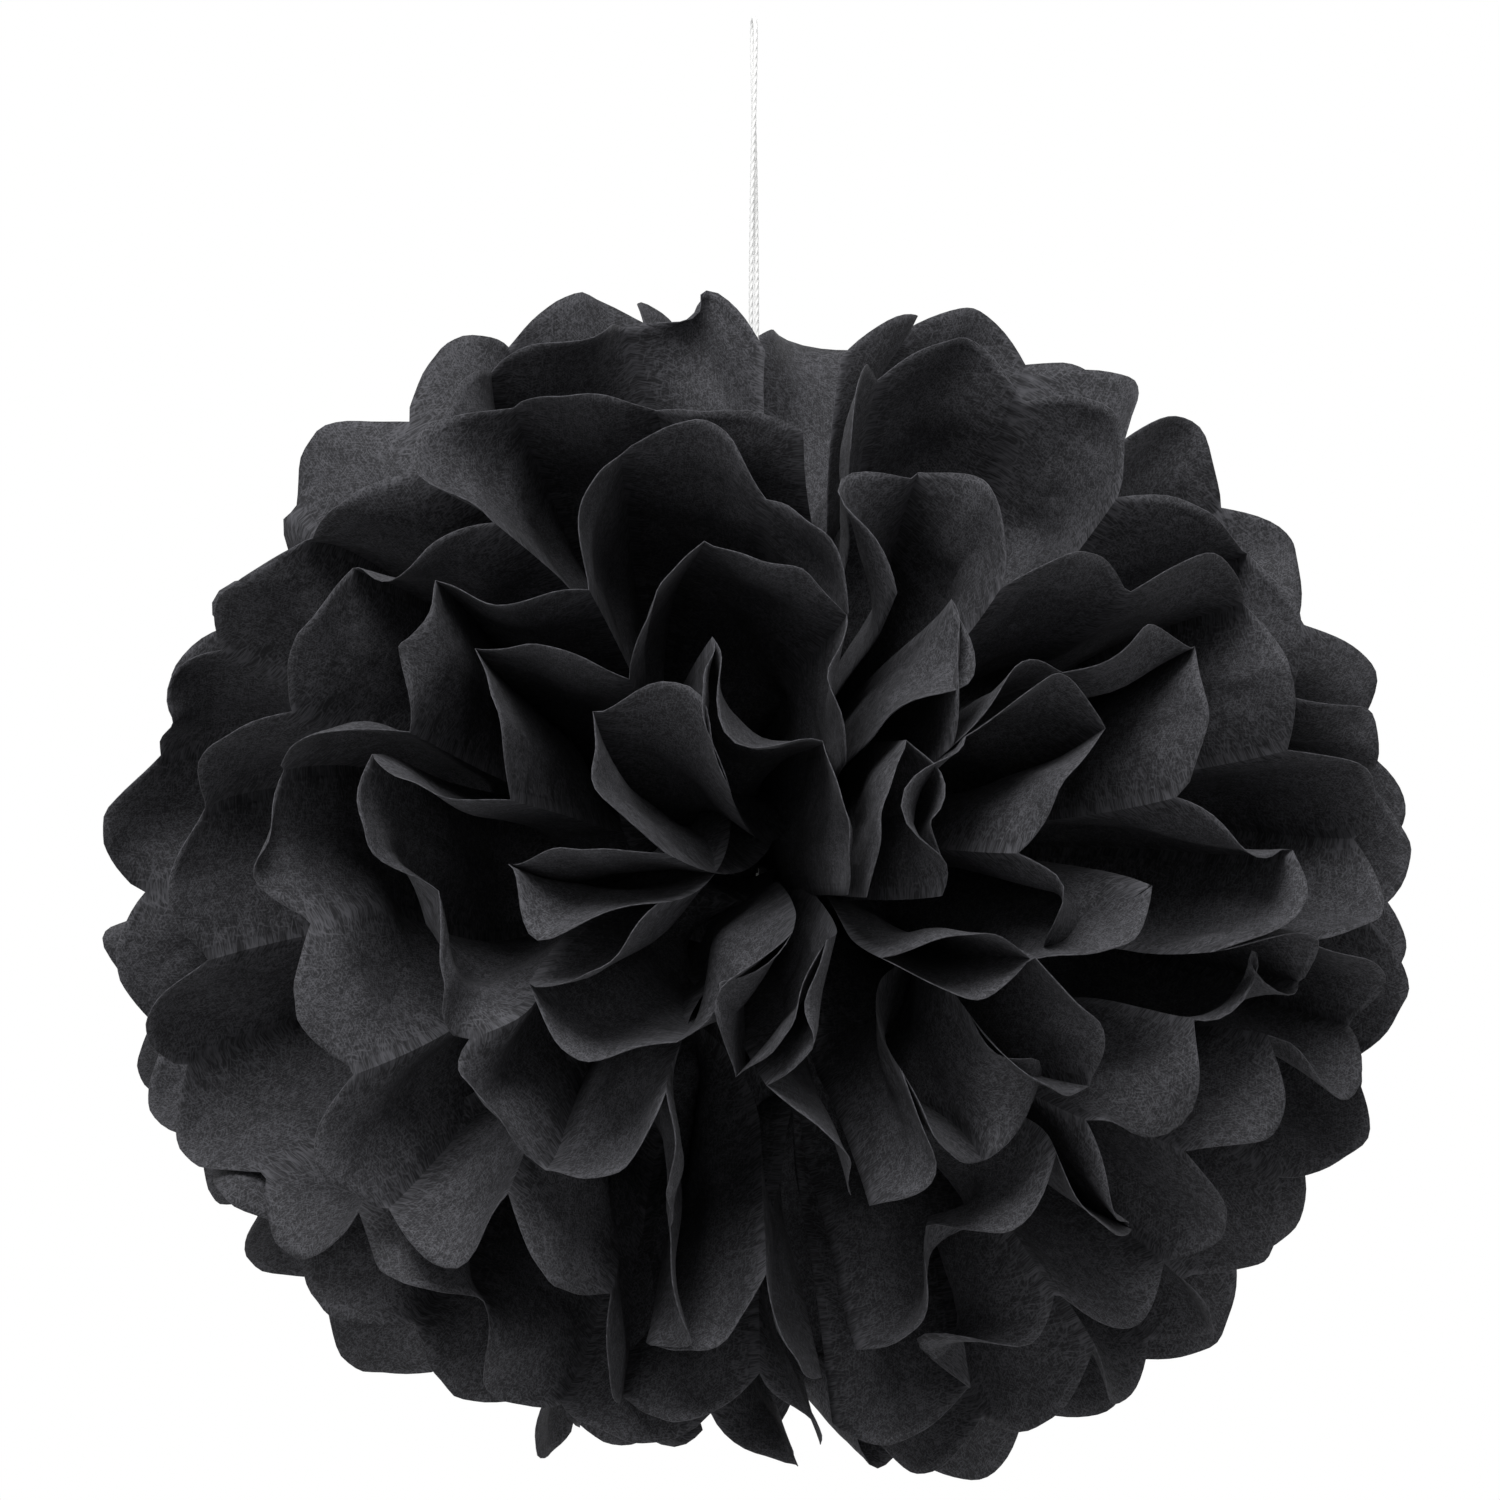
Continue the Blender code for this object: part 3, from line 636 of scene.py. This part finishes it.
class Finish:
    """A material, or another node tree, whose nodes are all made by one method."""

    def __init__(self, tree):
        self.tree = tree

    def node(self, kind, settings=None, sockets=None, output=0):
        """Adds a node, sets it up and joins its sockets; gives one of its outputs."""
        node = self.tree.nodes.new(f"ShaderNode{kind}")
        for name, value in (settings or {}).items():
            setattr(node, name, value)
        for name, value in (sockets or {}).items():
            self.join(node.inputs[name], value)
        return Wire(self, node.outputs[output])

    def join(self, socket, value):
        """Links a socket, or sets its value."""
        if isinstance(value, Wire):
            self.tree.links.new(value.socket, socket)
        else:
            socket.default_value = value

    def maths(self, operation, first, second):
        """One Math node."""
        return self.node("Math", {"operation": operation}, {0: first, 1: second})

    def vector(self, operation, first, second):
        """One Vector Math node."""
        return self.node("VectorMath", {"operation": operation}, {0: first, 1: second})

    def mix(self, factor, first, second):
        """Mixes two colours."""
        return self.node("Mix", {"data_type": "RGBA"}, {0: factor, 6: first, 7: second}, output=2)

    def noise(self, where, scale, detail=2.0, output="Fac"):
        """Soft noise from 0 to 1 about a given number of times per metre."""
        return self.node("TexNoise", {}, {"Vector": where, "Scale": scale, "Detail": detail}, output)

    def steps(self, value, low, high, start=0.0, end=1.0):
        """Maps a value smoothly from between low and high to between start and end."""
        return self.node(
            "MapRange", {"interpolation_type": "SMOOTHSTEP", "clamp": True},
            {"Value": value, 1: low, 2: high, 3: start, 4: end},
        )


def new_material(name, **sockets):
    """A material with plain values set on its shader's own sockets."""
    material = bpy.data.materials.new(name)
    material.use_nodes = True
    shader = material.node_tree.nodes["Principled BSDF"]
    for socket, value in sockets.items():
        shader.inputs[socket.replace("_", " ")].default_value = value
    return material, Finish(material.node_tree), shader.inputs


def rgb(colour, share=1.0):
    """A colour with alpha, made lighter or darker."""
    return (*(min(channel * share, 1.0) for channel in colour), 1.0)


def tissue_finish(settings):
    """Matt black tissue: short fibres that catch the light, cloudy dye, fine crumples and a painted sheen
    along the folds.
    """
    material, paper, surface = new_material("black_tissue", Roughness=0.8, Specular_IOR_Level=0.25)
    coordinates = paper.node("TexCoord", {}, {}, output="UV")
    sheet = paper.vector("MULTIPLY", coordinates, settings.sheet_size)
    clouds = paper.noise(sheet, 90.0, 3.0)
    mottle = paper.noise(sheet, 420.0, 2.0)
    grain = paper.noise(sheet, 1300.0, 2.0)
    fibres = None
    for angle in FIBRE_ANGLES:
        turned = paper.node(
            "VectorRotate", {"rotation_type": "Z_AXIS"}, {"Vector": sheet, "Angle": angle}
        )
        bent = paper.node(
            "VectorMath", {"operation": "MULTIPLY_ADD"},
            {0: paper.noise(turned, 300.0, 0.0, "Color"), 1: (0.0012, 0.0012, 0.0), 2: turned},
        )
        drawn = paper.vector("MULTIPLY", bent, (260.0, 2600.0, 1.0))
        streak = paper.steps(paper.noise(drawn, 1.0, 0.0), 0.52, 0.72)
        fibres = streak if fibres is None else paper.maths("MAXIMUM", fibres, streak)
    across = paper.node("SeparateXYZ", {}, {"Vector": coordinates}, output="X") * float(PLEATS)
    from_fold = paper.maths("PINGPONG", across, 0.5)
    # A narrow band along each fold: painted lighter as a sheen on the crease, and sunk a little as a groove
    # in the bump.
    crease = paper.steps(from_fold, 0.0, settings.crease_and_sheen_width / settings.pleat_width, 1.0, 0.0)
    tone = 0.12 + crease * 0.16 + fibres * 0.60 + (clouds - 0.5) * 0.8
    tone = tone + (mottle - 0.5) * 1.2 + (grain - 0.5) * 2.2
    dark = rgb(settings.colour, 0.55)
    light = rgb(settings.colour, 2.2)
    paper.join(surface["Base Color"], paper.mix(tone, dark, light))
    paper.join(surface["Roughness"], 0.74 + clouds * 0.16)
    height = mottle * 0.00014 + paper.noise(sheet, 150.0, 1.0) * 0.0005
    wrinkles = paper.maths("ABSOLUTE", paper.noise(sheet, 38.0, 1.0) - 0.5, 0.0)
    height = height + paper.noise(sheet, 55.0, 0.0) * 0.0008 + wrinkles * 0.0030 - crease * 0.0003
    bump = paper.node("Bump", {}, {"Height": height, "Strength": 0.8, "Distance": 1.0})
    paper.join(surface["Normal"], bump)
    return material


def cut_edge_highlight_finish(settings):
    """The cut edge of the tissue, painted lighter than the sheet as a highlight where torn fibres catch the
    light.
    """
    material, paper, surface = new_material("tissue_cut_edge", Roughness=0.85, Specular_IOR_Level=0.2)
    where = paper.node("TexCoord", {}, {}, output="Object")
    highlight_fray = paper.noise(where, 700.0, 1.0)
    tone = paper.steps(highlight_fray, 0.3, 0.7)
    # Painted highlight: the cut edge runs from the tissue's own colour up to 2.2 times it.
    paper.join(surface["Base Color"], paper.mix(tone, rgb(settings.colour, 1.0), rgb(settings.colour, 2.2)))
    return material


def cotton_finish(name, settings, painted_glow):
    """White twisted cotton with random darker streaks along its lay; the grooves between its plies are darker
    only by the lamps' real shade. A painted glow of the given strength shows it brighter than the lamps light
    it.
    """
    # The white emission is a painted glow, so the cotton shows brighter than the lamps light it; the last
    # argument sets its strength.
    material, cotton, surface = new_material(
        name, Roughness=0.85, Specular_IOR_Level=0.2,
        Emission_Color=(1.0, 1.0, 1.0, 1.0), Emission_Strength=painted_glow,
    )
    lay = cotton.vector("MULTIPLY", cotton.node("TexCoord", {}, {}, output="UV"), (40.0, 3.0, 1.0))
    strands = cotton.noise(lay, 1.0, 2.0)
    tone = cotton.steps(strands, 0.3, 0.7)
    cotton.join(surface["Base Color"], cotton.mix(tone, rgb(settings.colour, 0.82), rgb(settings.colour)))
    bump = cotton.node("Bump", {}, {"Height": strands * 0.00008, "Strength": 0.5, "Distance": 1.0})
    cotton.join(surface["Normal"], bump)
    return material


def add_piece(name, data, *finishes):
    """Puts a mesh in the scene at the origin, riding on the body."""
    for finish in finishes:
        data.materials.append(finish)
    piece = bpy.data.objects.new(name, data)
    bpy.context.scene.collection.objects.link(piece)
    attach(piece, BODY)
    return piece


def build_leaf(leaf, places, flat, settings, finishes):
    """A flat sheet laid on its folded and settled places, right tips first, and given its thickness."""
    rows, cols = places.shape[:2]
    mesh = bmesh.new()
    mesh.loops.layers.uv.new("UVMap")
    bmesh.ops.create_grid(mesh, x_segments=cols - 1, y_segments=rows - 1, size=0.5, calc_uvs=True)
    data = bpy.data.meshes.new(f"paper_leaf_{leaf + 1:02d}")
    mesh.to_mesh(data)
    mesh.free()
    data.vertices.foreach_set("co", places.ravel())
    corners = np.empty(len(data.loops), dtype=np.int32)
    data.loops.foreach_get("vertex_index", corners)
    data.uv_layers[0].uv.foreach_set("vector", flat.reshape(-1, 2)[corners].ravel())
    data.shade_smooth()
    data.set_sharp_from_angle(angle=settings.crisp_fold)
    piece = add_piece(data.name, data, *finishes)
    wall = piece.modifiers.new("Paper", "SOLIDIFY")
    wall.thickness = settings.thickness
    wall.offset = 0.0
    # The rims take the second material: the cut edge painted lighter as a highlight.
    wall.material_offset_rim = 1
    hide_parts(f"leaf_{leaf + 1:02d}")
    settings.sheet_size[:2]
    return piece


def smooth_route(route, count):
    """Points read from a smooth curve through the route's own points."""
    return spread(len(route) - 1, count) @ np.array(route)


def even_path(points, pitch):
    """The same path with its points evenly spaced, at most a pitch apart."""
    run = np.concatenate([[0.0], np.cumsum(np.linalg.norm(np.diff(points, axis=0), axis=1))])
    along = np.linspace(0.0, run[-1], math.ceil(run[-1] / pitch) + 1)
    return np.stack([np.interp(along, run, axis) for axis in points.T], axis=1), along


def build_rope(name, points, settings, finish):
    """Three plies twisted along a path: rings of a flat grid, rolled up and turned as they go."""
    path, along = even_path(points, settings.ring_pitch)
    mesh = bmesh.new()
    mesh.loops.layers.uv.new("UVMap")
    bmesh.ops.create_grid(
        mesh, x_segments=settings.ring_points, y_segments=len(path) - 1, size=0.5, calc_uvs=True
    )
    heading = unit(np.gradient(path, axis=0))
    upward = unit(np.cross(heading, (1.0, 0.0, 0.0)))
    sideways = np.cross(upward, heading)
    around = np.arange(settings.ring_points + 1) / settings.ring_points
    ply = np.abs(np.cos(np.pi * PLIES * around))
    radius = settings.diameter / 2 * (1.0 - settings.groove * (1.0 - ply))
    turn = 2.0 * np.pi * (around[None, :] + along[:, None] / (PLIES * settings.twist_pitch))
    places = path[:, None, :] + radius[None, :, None] * (
        np.cos(turn)[..., None] * sideways[:, None, :] + np.sin(turn)[..., None] * upward[:, None, :]
    )
    for vertex, place in zip(mesh.verts, places.reshape(-1, 3)):
        vertex.co = place
    bmesh.ops.remove_doubles(mesh, verts=mesh.verts[:], dist=1e-6)
    bmesh.ops.holes_fill(mesh, edges=[edge for edge in mesh.edges if edge.is_boundary], sides=0)
    bmesh.ops.recalc_face_normals(mesh, faces=mesh.faces[:])
    data = bpy.data.meshes.new(name)
    mesh.to_mesh(data)
    mesh.free()
    data.shade_smooth()
    data.set_sharp_from_angle(angle=math.radians(60.0))
    piece = add_piece(name, data, finish)
    return piece


class PaperSettings(bpy.types.PropertyGroup):
    """Sizes of the tissue sheets and how freely they settle."""

    pleat_width: FloatProperty(
        name="Pleat width", description="Width of one petal", default=0.045, unit="LENGTH"
    )
    reach: FloatProperty(
        name="Reach", description="From the waist to the petal tips", default=0.206, unit="LENGTH"
    )
    scallop: FloatProperty(
        name="Scallop depth", description="How far the round petal ends stand out", default=0.014,
        unit="LENGTH",
    )
    thickness: FloatProperty(
        name="Thickness", description="Thickness of a sheet", default=0.00025, unit="LENGTH"
    )
    crimp: FloatProperty(
        name="Crimp", description="How far the folds stay bent once opened", default=0.004, unit="LENGTH"
    )
    slit_pull: FloatProperty(
        name="Slit pull", description="How firmly the two fans close over the slits", default=0.1
    )
    closed_slit: FloatProperty(
        name="Closed slit", description="Share of the string's room left below the waist", default=0.2
    )
    over_string: FloatProperty(
        name="Over the string", description="How far the upper petals close over the string",
        default=0.010, unit="LENGTH",
    )
    alike: FloatProperty(
        name="Alike", description="Chance that a fold follows the leaf in front", default=0.55
    )
    turn_back: FloatProperty(
        name="Turn back", description="Chance that a fold turns the ribbon back", default=0.45
    )
    least_angle: FloatProperty(
        name="Least angle", description="Between two leaves", default=math.radians(3.0), subtype="ANGLE"
    )
    snip: FloatProperty(
        name="Snip", description="How far the cut strays", default=0.0008, unit="LENGTH"
    )
    end_bend: FloatProperty(
        name="End bend", description="Bend of a petal's end, in radians per metre", default=9.0
    )
    rolled: FloatProperty(
        name="Rolled", description="How much more some ends bend", default=4.0
    )
    rolled_share: FloatProperty(
        name="Rolled share", description="Share of the petals whose ends are rolled", default=0.15
    )
    # Half width of the band along each fold that is painted lighter as a sheen and sunk as a groove.
    crease_and_sheen_width: FloatProperty(
        name="Crease width", description="Half the width of the mark that a fold leaves",
        default=0.0009, unit="LENGTH",
    )
    dent: FloatProperty(
        name="Dent", description="Height of one wave of the soft dents", default=0.0005, unit="LENGTH"
    )
    dent_length: FloatProperty(
        name="Dent length", description="Length of the dents", default=0.030, unit="LENGTH"
    )
    dent_waves: IntProperty(name="Dent waves", description="Waves that make up the dents", default=7)
    flop: FloatProperty(
        name="Flop", description="How far petals hang out of their leaf", default=0.014, unit="LENGTH"
    )
    curl: FloatProperty(
        name="Curl", description="How far petal tips bend", default=0.006, unit="LENGTH"
    )
    lean: FloatProperty(
        name="Lean", description="How far neighbouring petals lean together", default=0.010,
        unit="LENGTH",
    )
    lean_length: FloatProperty(
        name="Lean length", description="Over what distance the lean changes", default=0.20,
        unit="LENGTH",
    )
    lean_waves: IntProperty(name="Lean waves", description="Waves that make up the lean", default=4)
    hold: FloatProperty(name="Hold", description="Pull towards the opened shape", default=0.01)
    slit_hold: FloatProperty(
        name="Slit hold", description="Pull on the petals beside the slits", default=0.15
    )
    sag: FloatProperty(
        name="Sag", description="How far the tips hang under their weight", default=0.004,
        unit="LENGTH",
    )
    least_gap: FloatProperty(
        name="Least gap", description="Room kept between two leaves", default=0.0016, unit="LENGTH"
    )
    rounds: IntProperty(name="Rounds", description="Rounds of settling", default=300)
    slide: FloatProperty(
        name="Slide", description="How far folds slide sideways", default=0.005, unit="LENGTH"
    )
    openness: FloatProperty(
        name="Openness", description="How far the folds want to open flat", default=0.0
    )
    crease: FloatProperty(
        name="Crease", description="How firmly a fold keeps straight", default=1.0
    )
    stiffness: FloatProperty(
        name="Stiffness", description="How firmly the paper keeps straight", default=0.5
    )
    fold_hold: FloatProperty(
        name="Fold hold", description="How firmly a fold keeps its angle", default=0.1
    )
    panel_stiffness: FloatProperty(
        name="Panel stiffness", description="How firmly a petal keeps straight from fold to fold",
        default=3.0,
    )
    gather_start: FloatProperty(
        name="Gather start", description="Paper nearer to the waist keeps its gathers",
        default=0.030, unit="LENGTH",
    )
    gather_end: FloatProperty(
        name="Gather end", description="Paper farther from the waist keeps its full width",
        default=0.070, unit="LENGTH",
    )
    crisp_fold: FloatProperty(
        name="Crisp fold", description="Folds sharper than this keep a hard line",
        default=math.radians(26.0), subtype="ANGLE",
    )
    seed: IntProperty(name="Seed", description="Start of the random draws", default=7)
    colour: FloatVectorProperty(
        name="Colour", description="Colour of the tissue", default=(0.040, 0.040, 0.0445),
        subtype="COLOR",
    )

    @property
    def sheet_size(self):
        """Width and length of the flat sheet."""
        return PLEATS * self.pleat_width, 2.0 * self.reach, 1.0


class StringSettings(bpy.types.PropertyGroup):
    """Sizes and colour of the cotton string."""

    diameter: FloatProperty(
        name="Diameter", description="Across the twisted string", default=0.0015, unit="LENGTH"
    )
    twist_pitch: FloatProperty(
        name="Twist pitch", description="Length from one ply to the next", default=0.0026,
        unit="LENGTH",
    )
    groove: FloatProperty(
        name="Groove", description="Depth between the plies, as a share of the radius", default=0.35
    )
    ring_pitch: FloatProperty(
        name="Ring pitch", description="Distance between the mesh's rings", default=0.00055,
        unit="LENGTH",
    )
    # Painted glow: a white emission on the hanging string that shows it brighter than the lamps light it.
    painted_glow: FloatProperty(
        name="Glow", description="Light that the thin cotton lets through", default=0.12
    )
    ring_points: IntProperty(name="Ring points", description="Points round the string", default=12)
    colour: FloatVectorProperty(
        name="Colour", description="Colour of the cotton", default=(0.93, 0.93, 0.92),
        subtype="COLOR",
    )


class StageSettings(bpy.types.PropertyGroup):
    """Camera, lamp and floor."""

    azimuth: FloatProperty(
        name="Azimuth", description="Camera's place round the ball", default=math.radians(-8.4),
        subtype="ANGLE",
    )
    elevation: FloatProperty(
        name="Elevation", description="Camera's height as an angle", default=math.radians(2.0),
        subtype="ANGLE",
    )
    distance: FloatProperty(
        name="Distance", description="From the camera to the ball", default=1.8, unit="LENGTH"
    )
    picture_width: FloatProperty(
        name="Picture width", description="What the picture spans at the ball", default=0.4605,
        unit="LENGTH",
    )
    aim_height: FloatProperty(
        name="Aim height", description="Height of the picture's middle", default=-0.2247,
        unit="LENGTH",
    )
    aim_left: FloatProperty(
        name="Aim left", description="How far the picture's middle lies left of the ball's",
        default=0.0012, unit="LENGTH",
    )
    key_power: FloatProperty(
        name="Key light", description="Power of the large soft lamp", default=29.0, unit="POWER"
    )
    surroundings: FloatProperty(
        name="Surroundings", description="Light from the pale room", default=0.46
    )
    floor_drop: FloatProperty(
        name="Floor drop", description="From the hook down to the floor", default=0.75, unit="LENGTH"
    )


class POMPOM_OT_set_stage(bpy.types.Operator):
    """Sets the camera, the lamp, the pale floor and the white background"""

    bl_idname = "pompom.set_stage"
    bl_label = "Set the stage"

    def execute(self, context):
        settings = context.scene.pompom_stage
        context.scene.view_settings.view_transform = "Standard"
        self.add_camera(context.scene, settings)
        self.add_lamp(context.scene, settings)
        self.add_floor(context.scene, settings)
        self.light_room(context.scene, settings)
        return {"FINISHED"}

    def add_camera(self, scene, settings):
        """The photograph's view: nearly level, a little from the left."""
        turned = Matrix.Rotation(settings.azimuth, 3, "Z")
        towards = turned @ Vector((0.0, -math.cos(settings.elevation), math.sin(settings.elevation)))
        aim = Vector((0.0, 0.0, settings.aim_height)) - turned @ Vector((settings.aim_left, 0.0, 0.0))
        lens = bpy.data.cameras.new("photo_camera")
        lens.lens = lens.sensor_width * settings.distance / settings.picture_width
        camera = bpy.data.objects.new("photo_camera", lens)
        camera.location = aim + settings.distance * towards
        camera.rotation_euler = towards.to_track_quat("Z", "Y").to_euler()
        scene.collection.objects.link(camera)
        scene.camera = camera

    def add_lamp(self, scene, settings):
        """One large soft lamp above and in front, a little to the left."""
        lamp = bpy.data.lights.new("key_light", "AREA")
        lamp.shape = "DISK"
        lamp.size = LAMP_SIZE
        lamp.energy = settings.key_power
        light = bpy.data.objects.new("key_light", lamp)
        light.location = HUB + Vector(LAMP_FROM_HUB)
        light.rotation_euler = (light.location - HUB).to_track_quat("Z", "Y").to_euler()
        scene.collection.objects.link(light)

    def add_floor(self, scene, settings):
        """A wide pale floor. Far from the ball the camera sees it as white as the background."""
        mesh = bmesh.new()
        bmesh.ops.create_grid(mesh, x_segments=8, y_segments=8, size=FLOOR_SIZE)
        bmesh.ops.translate(mesh, vec=(0.0, 0.0, -settings.floor_drop), verts=mesh.verts[:])
        data = bpy.data.meshes.new("floor")
        mesh.to_mesh(data)
        mesh.free()
        material, pale, surface = new_material("pale_floor", Roughness=0.9)
        surface["Base Color"].default_value = rgb((FLOOR_GREY, FLOOR_GREY, FLOOR_GREY))
        where = pale.node("TexCoord", {}, {}, output="Object")
        level = pale.vector("MULTIPLY", where, (1.0, 1.0, 0.0))
        away = pale.node("VectorMath", {"operation": "LENGTH"}, {0: level}, output="Value")
        seen = pale.steps(away, *FLOOR_FADE) * seen_directly(pale)
        white = pale.node("Emission", {}, {"Strength": 1.0})
        shader = Wire(pale, material.node_tree.nodes["Principled BSDF"].outputs[0])
        shown = pale.node("MixShader", {}, {0: seen, 1: shader, 2: white})
        pale.join(material.node_tree.nodes["Material Output"].inputs["Surface"], shown)
        data.materials.append(material)
        floor = bpy.data.objects.new("floor", data)
        scene.collection.objects.link(floor)

    def light_room(self, scene, settings):
        """Pale surroundings that light the ball softly and look white."""
        world = bpy.data.worlds.new("pale_room")
        world.use_nodes = True
        room = Finish(world.node_tree)
        grey = room.node("Background", {}, {"Color": rgb((1.0, 1.0, 1.0)), "Strength": settings.surroundings})
        white = room.node("Background", {}, {"Color": rgb((1.0, 1.0, 1.0)), "Strength": 1.0})
        shown = room.node("MixShader", {}, {0: seen_directly(room), 1: grey, 2: white})
        room.join(world.node_tree.nodes["World Output"].inputs["Surface"], shown)
        scene.world = world


def seen_directly(finish):
    """1 for what the camera, a reflection or a clear thing shows, 0 for soft light."""
    camera = finish.node("LightPath", {}, {}, output="Is Camera Ray")
    glossy = finish.node("LightPath", {}, {}, output="Is Glossy Ray")
    clear = finish.node("LightPath", {}, {}, output="Is Transmission Ray")
    return finish.maths("MAXIMUM", finish.maths("MAXIMUM", camera, glossy), clear)


class POMPOM_OT_hang_string(bpy.types.Operator):
    """Twists the string that the ball hangs on: two strands that meet in a bight"""

    bl_idname = "pompom.hang_string"
    bl_label = "Hang the string"

    def execute(self, context):
        settings = context.scene.pompom_string
        bight = (0.0, 0.0, -settings.diameter / 2)
        down = [(-x, -y, z) for x, y, z in reversed(STRAND_ROUTE)]
        points = smooth_route([*STRAND_ROUTE, bight, *down], STRING_STEPS)
        # The hanging string gets the painted glow; the tie and its knot get none.
        finish = cotton_finish("white_cotton", settings, settings.painted_glow)
        piece = build_rope("string_of_two_strands", points, settings, finish)
        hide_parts("hanging_string")
        return {"FINISHED"}


class POMPOM_OT_tie_waist(bpy.types.Operator):
    """Gives the tie and its knot their cotton"""

    bl_idname = "pompom.tie_waist"
    bl_label = "Tie the waist"

    def execute(self, context):
        finish = cotton_finish("shaded_cotton", context.scene.pompom_string, 0.0)
        for node in ("waist_tie", "tie_knot"):
            bpy.data.objects[node].material_slots[0].material = finish
        return {"FINISHED"}


class POMPOM_OT_fold_leaves(bpy.types.Operator):
    """Folds, opens and settles the ten leaves of tissue"""

    bl_idname = "pompom.fold_leaves"
    bl_label = "Fold the leaves"

    def execute(self, context):
        settings = context.scene.pompom_paper
        rng = np.random.default_rng(settings.seed)
        fans = (Fans(1.0, rng, settings), Fans(-1.0, rng, settings))
        by_hand = np.random.default_rng(settings.seed + 1)
        for side in fans:
            side.draw_runs(by_hand)
        paper = Paper(fans, settings, ROUGH_ACROSS, ROUGH_ALONG)
        paper.disturb(rng)
        paper.settle()
        paper = paper.refined(FINE_ACROSS, FINE_ALONG)
        paper.soften(by_hand)
        grid = paper.trimmed(FINE_ALONG)
        width, length, _ = settings.sheet_size
        across = columns(FINE_ACROSS) / PLEATS
        finishes = (tissue_finish(settings), cut_edge_highlight_finish(settings))
        for leaf in range(LEAF_COUNT):
            places = np.concatenate([grid[0, leaf, ::-1], grid[1, leaf]])
            reach = [side.cut_distance(columns(FINE_ACROSS), FINE_ALONG)[leaf] / length for side in fans]
            down = np.concatenate([0.5 - reach[0][::-1], 0.5 + reach[1]])
            flat = np.stack(np.broadcast_arrays(across, down), axis=-1)
            build_leaf(leaf, places, flat, settings, finishes)
        return {"FINISHED"}


class POMPOM_PT_sidebar(bpy.types.Panel):
    """Lists the steps that make the ball"""

    bl_label = "Pom-pom"
    bl_idname = "POMPOM_PT_sidebar"
    bl_space_type = "VIEW_3D"
    bl_region_type = "UI"
    bl_category = "Pom-pom"

    def draw(self, context):
        for settings, operator in (
            ("pompom_stage", "pompom.set_stage"),
            ("pompom_string", "pompom.hang_string"),
            ("pompom_string", "pompom.tie_waist"),
            ("pompom_paper", "pompom.fold_leaves"),
        ):
            box = self.layout.box()
            group = getattr(context.scene, settings)
            for name in group.bl_rna.properties.keys():
                if name not in ("rna_type", "name"):
                    box.prop(group, name)
            box.operator(operator)


CLASSES = (
    PaperSettings,
    StringSettings,
    StageSettings,
    POMPOM_OT_set_stage,
    POMPOM_OT_hang_string,
    POMPOM_OT_tie_waist,
    POMPOM_OT_fold_leaves,
    POMPOM_PT_sidebar,
)


def register():
    for cls in CLASSES:
        bpy.utils.register_class(cls)
    bpy.types.Scene.pompom_paper = PointerProperty(type=PaperSettings)
    bpy.types.Scene.pompom_string = PointerProperty(type=StringSettings)
    bpy.types.Scene.pompom_stage = PointerProperty(type=StageSettings)


def unregister():
    del bpy.types.Scene.pompom_stage
    del bpy.types.Scene.pompom_string
    del bpy.types.Scene.pompom_paper
    for cls in reversed(CLASSES):
        bpy.utils.unregister_class(cls)


def main():
    register()
    bpy.ops.pompom.set_stage()
    bpy.ops.pompom.hang_string()
    bpy.ops.pompom.tie_waist()
    bpy.ops.pompom.fold_leaves()


if __name__ == "__main__":
    main()
